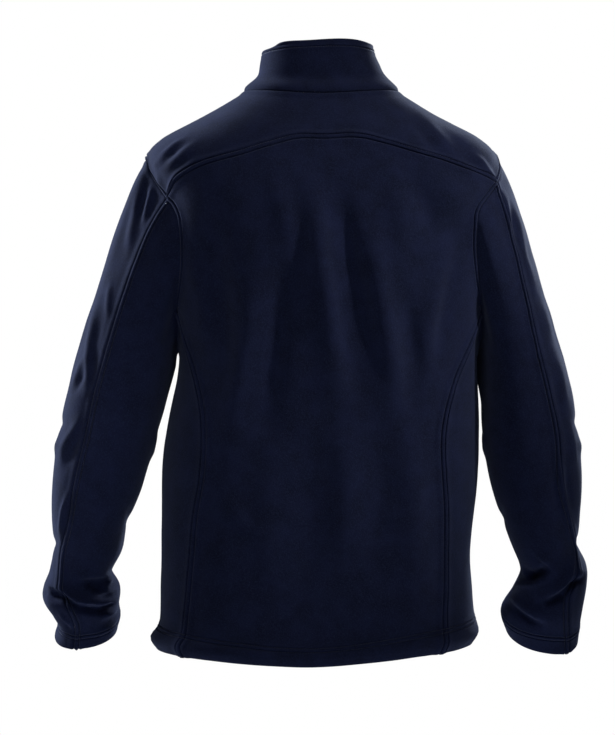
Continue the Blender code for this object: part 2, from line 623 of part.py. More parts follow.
def side_panel(side):
    """Side, under the arm, between the two long seams."""
    places = PLACES[TOP_STEPS + BACK_STEPS:TOP_STEPS + BACK_STEPS + UNDER_STEPS + 1]
    arc_degrees, arc_ring = armhole(side, places)
    numbers = low_rows()
    share = np.linspace(0, 1, UNDER_STEPS + 1)
    back, front = side_edge(side, False, numbers), -side_edge(side, True, numbers)
    even = back[:, None] + (front - back)[:, None] * share
    fade = np.clip(1 - (numbers - numbers[0]) / 1.8, 0, 1) ** 1.5
    degrees = even + fade[:, None] * (arc_degrees - even[0])
    number = numbers[:, None] + fade[:, None] * (arc_ring - numbers[0])
    angle = side_angle(side, degrees)
    outer, direction = body_surface(angle, number), body_normals(angle, number)
    direction[0] = armhole_mitre(side, places)
    wall = hem_wall(number, HEM_WALL)
    cloth_panel("side_left" if side > 0 else "side_right", outer, direction, wall)


def collar():
    """Stand collar, open at the zip, with a turned top edge."""
    upper = yoke_columns()[0]
    from_side = front_columns(0.0, -YOKE_NECK_FRONT)
    left = side_angle(1, -from_side[:-1])
    right = side_angle(-1, -from_side[:-1])[::-1]
    degrees = np.concatenate([left, upper, right])
    numbers = np.array(COLLAR_ROWS)
    degrees, number = np.meshgrid(degrees, numbers)
    outer, direction = collar_surface(degrees, number), collar_normals(degrees, number)
    direction[0] = neck_mitre(degrees[0])
    wall = np.where(number > COLLAR_STITCH_RING + 0.05, COLLAR_EDGE_WALL, COLLAR_WALL)
    wall[:, :2] = COLLAR_WALL
    wall[:, -2:] = COLLAR_WALL
    wall[0] = WALL
    cloth_panel("collar", outer, direction, wall)


def sleeve(side):
    """Upper and under sleeve, joined along the back of the arm and under it."""
    numbers = np.concatenate([np.linspace(0, 1, CAP_ROWS + 1), np.array(SLEEVE_ROWS)])
    turn = PLACES[UNDER_SEAM_STEP:-1] - 360
    over = np.concatenate([turn, PLACES[:BACK_SEAM_STEP + 1]])
    under = PLACES[BACK_SEAM_STEP:UNDER_SEAM_STEP + 1]
    word = "left" if side > 0 else "right"
    for name, places in (("upper_sleeve_" + word, over), ("under_sleeve_" + word, under)):
        around, number = np.meshgrid(places, numbers)
        outer = sleeve_surface(side, around, number)
        direction = sleeve_normals(side, around, number)
        direction[0] = armhole_mitre(side, places)
        wall = np.where(number > CUFF_STITCH_RING + 0.05, HEM_WALL, WALL)
        cloth_panel(name, outer, direction, wall)


def zip_rows(top, bottom):
    """Rows down the zip, between a ring of the collar and one of the body."""
    collar_numbers = [top] + [n for n in COLLAR_ROWS[::-1] if 0 < n < top - 0.1]
    body_numbers = [n for n in front_rows() if n < bottom - 0.1] + [bottom]
    return [("collar", n) for n in collar_numbers] + [("body", n) for n in body_numbers]


def zip_step(surface, number):
    """Distance along the zip from one ring number to the next."""
    return np.linalg.norm(surface(-90.0, number + 0.5) - surface(-90.0, number - 0.5))


def zip_grid(offsets, top, bottom):
    """Outer points, wall directions and cloth walls at distances to the side of the zip."""
    points, outs, walls = [], [], []
    for place, number in zip_rows(top, bottom):
        rings, surface, turned = ((COLLAR, collar_surface, collar_normals) if place == "collar"
                                  else (BODY, body_surface, body_normals))
        forward = -float(smooth(rings["front_y"], number))
        degrees = -90.0 + np.degrees(np.arcsin(np.asarray(offsets) / forward))
        numbers = np.full(degrees.shape, float(number))
        points.append(surface(degrees, numbers))
        outs.append(neck_mitre(degrees) if place == "body" and number == 0
                    else turned(degrees, numbers))
        walls.append(COLLAR_WALL if place == "collar" else WALL)
    return np.array(points), np.array(outs), np.array(walls)[:, None, None]


def zip_frame(place, number):
    """Frame on the zip's line: X to the left side, Z up along the zip, Y into the jacket."""
    surface = collar_surface if place == "collar" else body_surface
    up = surface(-90.0, number + 0.1) - surface(-90.0, number - 0.1)
    up = Vector(up if place == "collar" else -up).normalized()
    across = (Vector((1, 0, 0)) - up * up.x).normalized()
    turn = Matrix((across, up.cross(across), up)).transposed().to_4x4()
    return Matrix.Translation(Vector(surface(-90.0, number)) * MM) @ turn


def block(name, low, high, frame, finish, rounding):
    """Box between two corners of a frame, with its edges rounded."""
    form = bmesh.new()
    bmesh.ops.create_cube(form, size=1.0)
    low, high = Vector(low) * MM, Vector(high) * MM
    for vertex in form.verts:
        vertex.co = Vector([low[i] + (high[i] - low[i]) * (vertex.co[i] + 0.5)
                            for i in range(3)])
    bmesh.ops.bevel(form, geom=form.edges[:], offset=rounding * MM, segments=2,
                    affect="EDGES", profile=0.5)
    bmesh.ops.transform(form, matrix=frame, verts=form.verts[:])
    mesh = bpy.data.meshes.new(name)
    form.to_mesh(mesh)
    form.free()
    return add_object(name, mesh, finish)


def prism(name, outline, low, high, frame, finish, axis):
    """Outline of (first, second) points drawn along the frame's X or Z axis."""
    form = bmesh.new()
    if axis == "Z":
        corners = [Vector((first, second, low)) for first, second in outline]
        travel = Vector((0, 0, high - low))
    else:
        corners = [Vector((low, first, second)) for first, second in outline]
        travel = Vector((high - low, 0, 0))
    face = form.faces.new([form.verts.new(corner * MM) for corner in corners])
    grown = bmesh.ops.extrude_face_region(form, geom=[face])["geom"]
    moved = [item for item in grown if isinstance(item, bmesh.types.BMVert)]
    bmesh.ops.translate(form, vec=travel * MM, verts=moved)
    bmesh.ops.recalc_face_normals(form, faces=form.faces)
    bmesh.ops.transform(form, matrix=frame, verts=form.verts[:])
    mesh = bpy.data.meshes.new(name)
    form.to_mesh(mesh)
    form.free()
    return add_object(name, mesh, finish)


def zip_slider(frame):
    """Two plates held apart by a post that runs between the tapes, with a bridge in front."""
    wide, narrow = SLIDER_WIDTH / 2, POST_WIDTH / 2
    front_face, front_back = -SLIDER_FRONT, SLIDER_PLATE_BACK
    rear_face = COLLAR_WALL + TAPE_BEHIND + TAPE_THICKNESS + SLIDER_TO_TAPE
    rear_back = rear_face + SLIDER_REAR
    profile = ((-wide, front_face), (wide, front_face), (wide, front_back),
               (narrow, front_back), (narrow, rear_face), (wide, rear_face),
               (wide, rear_back), (-wide, rear_back), (-wide, rear_face),
               (-narrow, rear_face), (-narrow, front_back), (-wide, front_back))
    half = SLIDER_LENGTH / 2
    slider = prism("zip_slider", profile, -half, half, frame, "metal", "Z")
    foot, top = BRIDGE_LENGTH / 2, -SLIDER_FRONT - BRIDGE_RISE
    root = -SLIDER_FRONT + BRIDGE_ROOT
    inside, shoulder = foot - BRIDGE_THICKNESS, foot - BRIDGE_SLOPE
    under = top + BRIDGE_THICKNESS
    arch = ((root, foot), (top, shoulder), (top, -shoulder), (root, -foot),
            (root, -inside), (under, -inside), (under, inside), (root, inside))
    bridge = prism("bridge", arch, -BRIDGE_WIDTH / 2, BRIDGE_WIDTH / 2, frame, "metal", "X")
    helper(bridge)
    union = slider.modifiers.new("bridge", "BOOLEAN")
    union.operation = "UNION"
    union.object = bridge
    return slider


def helper(thing):
    """Move an object that only shapes others out of the jacket's collection."""
    bpy.data.collections["fleece_zip_jacket"].objects.unlink(thing)
    bpy.data.collections["shaping_helpers"].objects.link(thing)
    thing.hide_render = True
    thing.display_type = "WIRE"


def rounded_outline(width, low, high, radius, steps=4):
    """Corners of a rounded rectangle that is centred on the upright axis."""
    points = []
    corners = ((width / 2, high, 0), (-width / 2, high, 90), (-width / 2, low, 180),
               (width / 2, low, 270))
    for x, z, start in corners:
        centre_x, centre_z = x - math.copysign(radius, x), z - radius if z == high else z + radius
        for step in range(steps + 1):
            angle = math.radians(start + 90 * step / steps)
            points.append((centre_x + radius * math.cos(angle),
                           centre_z + radius * math.sin(angle)))
    return points


def zip_pull(axis):
    """Pull tab: a flat plate with a window, hung by its top rung on the slider's bridge."""
    outline = bpy.data.curves.new("zip_pull", "CURVE")
    outline.dimensions = "2D"
    outline.fill_mode = "BOTH"
    outline.extrude = PULL_THICKNESS / 2 * MM
    rung = PULL_RUNG / 2
    for width, low, high, radius in ((PULL_WIDTH, -PULL_LENGTH, rung, 2.0),
                                     (PULL_WINDOW, -PULL_WINDOW_END, -rung, 0.8)):
        points = rounded_outline(width, low, high, radius)
        spline = outline.splines.new("POLY")
        spline.points.add(len(points) - 1)
        for point, (x, z) in zip(spline.points, points):
            point.co = (x * MM, z * MM, 0, 1)
        spline.use_cyclic_u = True
    pull = bpy.data.objects.new("zip_pull", outline)
    own = material("metal").copy()
    own.name = "zip_pull_metal"
    outline.materials.append(own)
    bpy.data.collections["fleece_zip_jacket"].objects.link(pull)
    pull.location = axis
    pull.rotation_euler = (math.pi / 2, 0, 0)
    return pull


def zip_parts():
    """Tapes behind the front edges, the closed chain between them and the end pieces."""
    for side, word in ((1, "left"), (-1, "right")):
        offsets = [side * x for x in (TAPE_EDGE, ZIP_GAP / 2, ZIP_GAP / 2 + TAPE_WIDTH - 3.0)]
        points, outs, walls = zip_grid(offsets, TAPE_TOP_RING, TAPE_BOTTOM_RING)
        outer = points - outs * (walls + TAPE_BEHIND)
        wall_solid("zip_tape_" + word, outer, outer - outs * TAPE_THICKNESS, "tape")
    above, below = SLIDER_LENGTH / 2 + CHAIN_TO_SLIDER, BOX_LENGTH / 2 + CHAIN_TO_BOX
    top = SLIDER_RING - above / zip_step(collar_surface, SLIDER_RING)
    bottom = BOX_RING - below / zip_step(body_surface, BOX_RING - 0.5)
    points, outs, _ = zip_grid((-CHAIN_WIDTH / 2, CHAIN_WIDTH / 2), top, bottom)
    outer = points - outs * CHAIN_DEPTH
    wall_solid("zip_chain", outer, outer - outs * CHAIN_THICKNESS, "chain")
    frame = zip_frame("collar", SLIDER_RING)
    zip_slider(frame)
    axis = frame @ (Vector((0, -SLIDER_FRONT - PULL_AXIS_OUT, PULL_AXIS_UP)) * MM)
    zip_pull(axis)
    stop, chain_back = zip_frame("collar", STOP_RING), CHAIN_DEPTH + CHAIN_THICKNESS
    for side, word in ((1, "left"), (-1, "right")):
        near, far = sorted((side * STOP_NEAR, side * STOP_FAR))
        block("zip_top_stop_" + word, (near, CHAIN_DEPTH, -STOP_LENGTH / 2),
              (far, chain_back, STOP_LENGTH / 2), stop, "metal", 0.4)
    block("zip_box", (-BOX_WIDTH / 2, -BOX_OUT, -BOX_LENGTH / 2),
          (BOX_WIDTH / 2, chain_back, BOX_LENGTH / 2), zip_frame("body", BOX_RING), "chain", 0.6)


def build():
    for thing in list(bpy.data.objects):
        bpy.data.objects.remove(thing, do_unlink=True)
    group = bpy.data.collections.new("fleece_zip_jacket")
    bpy.context.scene.collection.children.link(group)
    helpers = bpy.data.collections.new("shaping_helpers")
    bpy.context.scene.collection.children.link(helpers)
    back_panel()
    yoke_panel()
    collar()
    for side in (1, -1):
        front_panel(side)
        side_panel(side)
        sleeve(side)
    zip_parts()


build()
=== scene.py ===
"""Fleece zip jacket: sewn cloth panels, stitching and zip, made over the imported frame."""
import math
from functools import partial
import bpy
import numpy as np
from bpy.props import FloatProperty, FloatVectorProperty, PointerProperty
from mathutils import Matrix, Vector


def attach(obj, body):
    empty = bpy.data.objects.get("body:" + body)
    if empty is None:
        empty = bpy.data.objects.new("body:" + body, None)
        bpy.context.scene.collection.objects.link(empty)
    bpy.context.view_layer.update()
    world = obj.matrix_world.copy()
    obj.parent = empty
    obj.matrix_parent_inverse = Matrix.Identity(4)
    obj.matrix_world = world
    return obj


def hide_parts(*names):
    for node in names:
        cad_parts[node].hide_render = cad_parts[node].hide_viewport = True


bl_info = {
    "name": "Fleece Zip Jacket",
    "version": (1, 0, 0),
    "blender": (4, 5, 0),
    "location": "3D View > Sidebar > Jacket",
    "description": "Sews the panels, stitches and zip of a worn fleece jacket",
    "category": "Add Mesh",
}

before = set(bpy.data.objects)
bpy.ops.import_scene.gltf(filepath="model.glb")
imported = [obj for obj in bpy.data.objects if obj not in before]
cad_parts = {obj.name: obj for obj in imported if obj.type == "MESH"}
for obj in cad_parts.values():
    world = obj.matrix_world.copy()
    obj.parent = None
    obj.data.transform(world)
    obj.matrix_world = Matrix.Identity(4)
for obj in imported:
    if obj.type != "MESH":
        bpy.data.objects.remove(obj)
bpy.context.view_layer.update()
GARMENT, PULL_TAB = "garment", "pull_tab"
SIDE_WORDS = {1: "left", -1: "right"}
MM = 0.001


def linear(code):
    """Linear colour, with alpha, of an sRGB hex code."""
    parts = [int(code[i:i + 2], 16) / 255 for i in (1, 3, 5)]
    return tuple(p / 12.92 if p <= 0.04045 else ((p + 0.055) / 1.055) ** 2.4
                 for p in parts) + (1.0,)


# ---------------------------------------------------------------------------------------------
# Sizes and colours that can be changed
# ---------------------------------------------------------------------------------------------
def millimetres(name, description, value):
    """A length property with its default in millimetres."""
    return FloatProperty(name=name, description=description, default=value * MM, min=0.0,
                         precision=5, unit="LENGTH")


def paint(name, description, code):
    """A colour property with its default as an sRGB hex code."""
    return FloatVectorProperty(name=name, description=description, default=linear(code),
                               size=4, min=0.0, max=1.0, subtype="COLOR")


class JacketCloth(bpy.types.PropertyGroup):
    """Fleece of every panel"""
    wall: millimetres("Thickness", "Thickness of one layer of fleece", 2.2)
    turn: millimetres("Turned edge", "Half the height of a turned hem, cuff or collar", 2.25)
    creasing: FloatProperty(name="Creasing", description="How deep the creases are",
                            default=1.0, min=0.0, max=1.2, subtype="FACTOR")
    dark: paint("Dark pile", "Colour deep between the pile's clumps", "#0f142c")
    light: paint("Light pile", "Colour on top of the pile's clumps", "#171d3b")
    # Painted highlight: a lighter colour laid on the tops of the pile's clumps, as if lit.
    tip_highlight: paint("Tips", "Colour of the brushed tips", "#202846")
    halo: paint("Halo", "Tint that the nap shows at its edges", "#b4bfe0")


class JacketSewing(bpy.types.PropertyGroup):
    """Thread and stitches"""
    pitch: millimetres("Pitch", "Distance from stitch to stitch", 3.1)
    length: millimetres("Length", "Length of a stitch that shows", 2.7)
    width: millimetres("Width", "Width of the thread", 0.85)
    height: millimetres("Height", "Height of the thread over the cloth", 0.62)
    thread: paint("Thread", "Colour of the thread", "#222b4a")


class JacketZip(bpy.types.PropertyGroup):
    """Tapes, teeth and metal parts"""
    tape_wall: millimetres("Tape thickness", "Thickness of the woven tape", 0.6)
    pitch: millimetres("Tooth pitch", "Distance from tooth to tooth on one side", 2.9)
    pull_length: millimetres("Pull length", "Length of the pull tab", 30.0)
    # Painted shade: a darker colour laid in the hollows between the tape's threads.
    hollow_shade: paint("Tape hollows", "Colour between the tape's threads", "#0d1120")
    tape_high: paint("Tape threads", "Colour of the tape's threads", "#1d2540")
    teeth: paint("Teeth", "Colour of the moulded teeth", "#12172b")
    enamel: paint("Enamel", "Colour of the enamel on the slider and pull", "#1a2033")
    bare: paint("Bare metal", "Colour where the enamel has worn", "#6d7482")


class JacketStage(bpy.types.PropertyGroup):
    """Camera, ground and surround"""
    camera: FloatVectorProperty(name="Camera", description="Where the camera stands",
                                default=(0.0184, 3.2, -0.346), size=3, subtype="TRANSLATION",
                                unit="LENGTH")
    lens: FloatProperty(name="Lens", description="Focal length in millimetres",
                        default=123.4, min=10.0, unit="CAMERA")
    surround: FloatProperty(name="Surround", description="Strength of the light all round",
                            default=0.022, min=0.0)
    ground: paint("Ground", "Colour of the floor", "#e4e4e4")


# ---------------------------------------------------------------------------------------------
# The jacket's rings.  Lengths are in millimetres and angles in degrees.  A ring number says how
# far down the body, up the collar or down the sleeve a place is.
# ---------------------------------------------------------------------------------------------
BODY_COLUMNS = ("ring", "side_z", "half_width", "centre_x", "back_y", "front_y",
                "back_z", "front_z", "square", "lean", "crown")
BODY_RINGS = (
    ("neck seam",        3,  97.0,  1.0,  72,  -80,   -5,  -58, 2.10,  0.0, 2.0),
    ("neck slope",     -18, 131.0,  1.5,  97, -101,  -38,  -84, 2.20,  0.0, 2.0),
    ("mid shoulder",   -38, 166.5,  2.0, 114, -115,  -65, -110, 2.30,  0.0, 2.0),
    ("shoulder edge",  -57, 202.0,  3.0, 124, -125,  -93, -135, 2.40, -1.0, 2.0),
    ("shoulder point", -81, 221.0,  1.0, 130, -132, -124, -162, 2.50, -2.0, 2.0),
    ("blade",         -125, 218.0, -9.0, 135, -137, -162, -192, 2.60, -1.0, 2.0),
    ("across back",   -176, 204.0, -7.0, 137, -140, -204, -226, 2.60,  0.0, 2.0),
    ("chest",         -250, 196.0, -8.0, 135, -141, -266, -277, 2.60,  0.0, 2.0),
    ("underarm",      -322, 188.0, -8.0, 131, -138, -330, -334, 2.60,  0.0, 2.0),
    ("ribs",          -387, 192.5, -4.5, 127, -134, -393, -393, 2.60,  0.0, 2.0),
    ("waist",         -450, 197.5,  1.0, 126, -131, -456, -452, 2.60,  0.0, 2.0),
    ("hip",           -514, 198.0,  4.5, 128, -131, -521, -512, 2.60,  0.0, 2.0),
    ("seat",          -578, 195.5,  8.0, 131, -132, -588, -574, 2.60, -2.0, 2.0),
    ("above hem",     -636, 197.5,  7.0, 134, -133, -654, -632, 2.60, -4.0, 2.0),
    ("hem stitching", -665, 200.0,  6.5, 135, -134, -688, -662, 2.60, -5.0, 2.0),
    ("hem roll",      -682, 207.5,  9.5, 137, -136, -700, -680, 2.60, -4.0, 2.0),
    ("hem edge",      -697, 199.0, 10.0, 133, -132, -711, -694, 2.60, -3.0, 2.0),
)
SHOULDER_RING, UNDERARM_RING, HEM_STITCH_RING, HEM_RING = 4.0, 8.0, 14.0, 15.9
FRONT_STRAIGHT = 0.7          # how little the front's middle follows a ring's own middle
FRONT_CROWN = 2.0             # roundness of a ring's front, seen from ahead
FOLD_HOLDS = 0.35             # share of a fold's length that keeps its height either way
FOLDS_BEGIN = 3               # how soon the folds have their full height behind the sides
COLLAR_RINGS = (
    BODY_RINGS[0],
    ("seam roll",       11,  94.5,  1.0,  71,  -81,    4,  -51, 2.10,  0.0, 2.2),
    ("crease",          21,  84.0,  0.5,  63,  -78,   14,  -41, 2.10,  0.0, 2.5),
    ("lower stand",     31,  78.5,  1.5,  60,  -79,   25,  -31, 2.15,  0.0, 3.0),
    ("upper stand",     44,  74.0,  4.0,  57,  -82,   43,  -15, 2.15, -1.0, 4.0),
    ("edge stitching",  52,  71.5,  5.0,  55,  -84,   55,   -5, 2.15, -2.0, 5.0),
    ("top edge",        58,  70.0,  5.5,  53,  -85,   64,    3, 2.15, -4.0, 5.5),
)
COLLAR_STITCH_RING, COLLAR_TOP_RING = 5.0, 5.85
SLEEVE_COLUMNS = ("ring", "x", "y", "z", "half_width", "half_depth", "rise", "drop", "back_seam")
LEFT_SLEEVE = (
    ("bicep",        246,  -4, -332, 61.5, 69.0, 14.0,  0.0, 69.0),
    ("upper arm",    259,   0, -378, 62.0, 66.0, 13.0,  1.0, 69.0),
    ("elbow",        272,   1, -428, 61.0, 63.0, 12.0,  4.0, 70.0),
    ("below elbow",  285,  -8, -486, 57.5, 59.0, 10.0,  9.0, 66.0),
    ("forearm",      297, -22, -541, 48.5, 54.0,  8.0, 14.0, 61.0),
    ("above wrist",  300, -33, -576, 44.0, 50.0,  4.0, 16.0, 47.0),
    ("fold notch",   310, -42, -607, 40.0, 47.0,  1.0, 18.0, 55.0),
    ("fold roll",    310, -49, -633, 50.0, 53.0, -2.0, 20.0, 76.0),
    ("under fold",   305, -55, -655, 43.0, 48.0, -4.0, 22.0, 78.0),
    ("cuff stitch",  301, -59, -670, 40.0, 45.0, -5.0, 23.0, 71.0),
    ("cuff edge",    305, -63, -687, 41.0, 44.0, -6.0, 25.0, 75.0),
)
RIGHT_SLEEVE = (
    ("bicep",       -250,  -4, -334, 52.0, 74.0, 13.0,  0.0, 68.0),
    ("upper arm",   -259,   0, -378, 57.0, 69.0, 11.0,  1.0, 67.5),
    ("elbow",       -264,   1, -428, 60.0, 64.0,  8.0,  4.0, 62.0),
    ("below elbow", -273,  -8, -489, 58.0, 59.0,  8.0,  9.0, 63.0),
    ("forearm",     -281, -22, -541, 48.5, 54.0,  7.0, 14.0, 46.0),
    ("above wrist", -287, -32, -575, 41.5, 50.0,  4.0, 16.0, 28.0),
    ("fold notch",  -297, -40, -599, 43.0, 49.0,  0.0, 18.0, 48.0),
    ("fold roll",   -298, -45, -617, 43.0, 51.0, -3.0, 20.0, 70.0),
    ("under fold",  -291, -52, -643, 46.0, 53.0, -6.0, 22.0, 63.0),
    ("cuff stitch", -283, -59, -668, 51.0, 48.0, -8.0, 26.0, 52.0),
    ("cuff edge",   -285, -65, -690, 47.0, 46.0, -9.0, 29.0, 49.0),
)
CUFF_STITCH_RING, CUFF_RING = 10.0, 10.92
SECTION_SQUARE = 2.25
ARMHOLE_UNDER_SPREAD, ARMHOLE_FRONT_SPREAD = 20.0, 21.0
# Back half of each armhole: place round it, angle from the side, body ring
ARMHOLE_BACK = {
    1: ((0, 0.0, 4.0), (20, 8.5, 4.13), (40, 11.8, 4.58), (58, 19.0, 5.16), (70, 22.6, 5.44),
        (82, 24.8, 5.78), (94, 25.2, 6.14), (106, 23.6, 6.60), (118, 20.2, 6.97),
        (130, 15.32, 7.286)),
    -1: ((0, 0.0, 4.0), (20, 4.0, 4.14), (40, 9.2, 4.48), (58, 15.9, 4.80), (70, 23.0, 5.19),
         (82, 25.9, 5.50), (94, 25.0, 5.90), (106, 23.5, 6.40), (118, 20.8, 6.88),
         (130, 15.32, 7.286)),
}
# Places round the armhole, counted from the shoulder point towards the back
YOKE_FRONT_AT, YOKE_BACK_AT = -40.0, 58.0
SIDE_BACK_AT, SIDE_FRONT_AT = 130.0, 230.0
UNDER_SEAM_AT = 241.25
LEAVE_TOP = (0.62, 0.00, -0.78)
LEAVE_BACK = {1: (0.74, 0.20, -0.64), -1: (0.30, 0.22, -0.93)}
LEAVE_UNDER = (0.90, 0.00, -0.44)
LEAVE_FRONT = (0.74, -0.20, -0.64)
LEAVE_PULL, ARRIVE_PULL, ARRIVE_STEP = 0.60, 0.70, 0.05
YOKE_NECK_FRONT, YOKE_NECK_BACK = -36.0, 26.0
# How many rings below a curved top edge the rows are even again, and how fast they get there
BACK_EVENS_OUT, SIDE_EVENS_OUT, EVENING = 2.4, 1.8, 1.5
YOKE_SEAM = ((0.00, 5.16), (0.035, 4.73), (0.086, 4.31), (0.187, 3.50), (0.288, 2.68),
             (0.37, 2.18), (0.51, 2.04), (0.66, 2.22), (0.765, 2.95), (0.835, 3.68),
             (0.90, 4.24), (0.95, 4.54), (1.00, 4.80))
BACK_SEAMS = ((7.29, 15.3, 15.3), (7.85, 21.5, 23.0), (8.40, 27.0, 29.0), (9.00, 32.0, 33.0),
              (9.60, 34.7, 34.5), (10.4, 35.5, 33.4), (11.2, 34.0, 31.8), (12.0, 33.6, 31.2),
              (13.2, 31.8, 33.2), (16.0, 31.0, 33.5))
FRONT_SEAMS = ((7.29, 16.1, 16.1), (8.00, 22.0, 22.0), (9.00, 27.0, 27.0), (11.0, 29.0, 29.0),
               (16.0, 30.0, 30.0))
FOLD_COLUMNS = ("fold", "x0", "z0", "x1", "z1", "width", "height")
BACK_FOLDS = (
    ("long ridge",        22, -105,  -18, -400, 20,  4.5),
    ("long valley",      -16, -140,  -50, -390, 18, -4.5),
    ("right ridge",      -58, -180,  -88, -410, 20,  4.0),
    ("right valley",    -100, -280, -110, -390, 14, -2.5),
    ("left valley",       44, -230,   70, -430, 20, -3.5),
    ("left ridge",        86, -240,  116, -440, 20,  3.5),
    ("low right ridge", -106, -430, -116, -630, 24,  3.5),
    ("low long ridge",   -28, -430,  -30, -560, 24,  3.0),
    ("shoulder ridge",  -135, -107, -159, -136, 18,  3.0),
    ("shoulder valley", -118, -122, -162, -184, 20, -3.5),
    ("left blade edge",  168, -160,  166, -330, 16,  4.0),
    ("right blade edge", -186, -160, -184, -350, 16,  4.0),
)

# ---------------------------------------------------------------------------------------------
# Creases, listed under the view that they are seen in: a crease's half width, how far
# it stands out or sinks in, and its route in the view's own two directions (across, up).  A pair
# of half widths is for the left and the right of the route.
# ---------------------------------------------------------------------------------------------
BODY_CREASES = {
    "back": (
        (10, 5.2, (12, -120), (4, -166), (2, -215), (-7, -262), (-13, -312), (-22, -361)),
        (10, -5.2, (-22, -126), (-28, -166), (-36, -215), (-48, -262), (-58, -312), (-66, -356)),
        (11, 4.8, (-62, -186), (-72, -262), (-84, -330), (-96, -390)),
        (9, -4.5, (-104, -262), (-110, -312), (-118, -366)),
        (12, 4.2, (86, -245), (90, -300), (101, -356), (112, -416)),
        (12, -4.2, (50, -229), (54, -290), (62, -350), (74, -410)),
        (11, -3.2, (123, -203), (120, -276), (118, -351)),
        (14, 4.0, (62, -107), (48, -150), (44, -197)),
        (10, -3.0, (34, -129), (26, -181), (28, -239)),
        (15, -3.8, (126, -150), (134, -229), (128, -300)),
        (10, 3.5, (166, -197), (148, -262), (146, -330)),
        (10, -3.8, (-168, -200), (-151, -262), (-142, -334)),
        (11, 3.8, (-151, -225), (-132, -290), (-128, -350)),
        (12, -3.5, (-110, -116), (-128, -150), (-136, -197)),
        (13, 3.5, (-83, -110), (-96, -160), (-98, -214)),
        (15, 3.2, (-20, -420), (-30, -489), (-24, -581)),
        (17, -3.2, (-66, -420), (-72, -500), (-62, -600)),
        (15, 3.0, (-104, -430), (-112, -520), (-112, -620)),
        (18, -2.8, (20, -439), (14, -539), (24, -639)),
        (18, 2.8, (60, -439), (67, -539), (62, -639)),
        (12, 1.8, (120, -500), (98, -539), (67, -552)),
        (12, 1.8, (-128, -486), (-100, -524), (-64, -536)),
        (5.0, 2.4, (198, -101), (186, -93), (172, -79), (158, -70)),
        (4.0, -1.3, (192, -90), (180, -79), (165, -67)),
        (4.0, 1.6, (179, -92), (169, -84), (159, -79)),
        (3.4, 2.2, (207, -88), (196, -80), (184, -70), (172, -62)),
        (2.8, -1.0, (203, -94), (191, -86), (178, -74)),
        (3.2, -1.2, (188, -104), (176, -95), (164, -88)),
        (2.8, 1.8, (212, -98), (204, -92), (196, -88)),
        (4.0, 1.4, (170, -98), (160, -92), (150, -88)),
        (3.0, 2.0, (207, -103), (203, -112), (198, -122)),
        (9, 3.2, (-123, -32), (-132, -45), (-142, -60), (-153, -73), (-164, -86)),
        (8, -2.0, (-113, -42), (-124, -56), (-135, -71), (-144, -83)),
        (4.2, 3.0, (-185, -82), (-197, -90), (-207, -103), (-213, -114)),
        (6.0, -1.8, (-170, -88), (-185, -94), (-197, -105)),
        (12, 1.4, (60, -66), (68, -83), (64, -97)),
        (12, 1.4, (-50, -50), (-60, -76), (-57, -93)),
    ),
    "front": (
        (20, 3.9, (60, -150), (68, -260), (62, -380)),
        (16, -3.6, (104, -180), (96, -300), (100, -420)),
        (19, 3.9, (-56, -160), (-70, -280), (-64, -400)),
        (16, -3.3, (-110, -170), (-98, -290), (-104, -430)),
        (11, 3.9, (150, -190), (132, -250), (128, -320)),
        (11, 3.9, (-150, -186), (-136, -246), (-130, -325)),
        (9, -3.9, (168, -230), (146, -300), (142, -360)),
        (9, -3.6, (-168, -236), (-146, -302), (-144, -366)),
        (18, 3.0, (40, -470), (52, -560), (46, -640)),
        (18, 2.7, (-44, -450), (-50, -550), (-40, -636)),
        (11, 2.1, (120, -500), (90, -530), (50, -536)),
        (12, 2.2, (-124, -480), (-92, -520), (-48, -530)),
        (11, 2.7, (90, -84), (120, -112), (140, -150)),
        (11, 2.7, (-92, -84), (-118, -110), (-142, -154)),
    ),
    "left": (
        (14, 2.0, (30, -360), (10, -430), (24, -520)),
        (12, -1.8, (-20, -380), (-30, -460), (-16, -560)),
    ),
    "right": (
        (14, 2.0, (26, -370), (6, -440), (18, -530)),
        (12, -1.8, (-24, -390), (-34, -470), (-20, -566)),
    ),
}
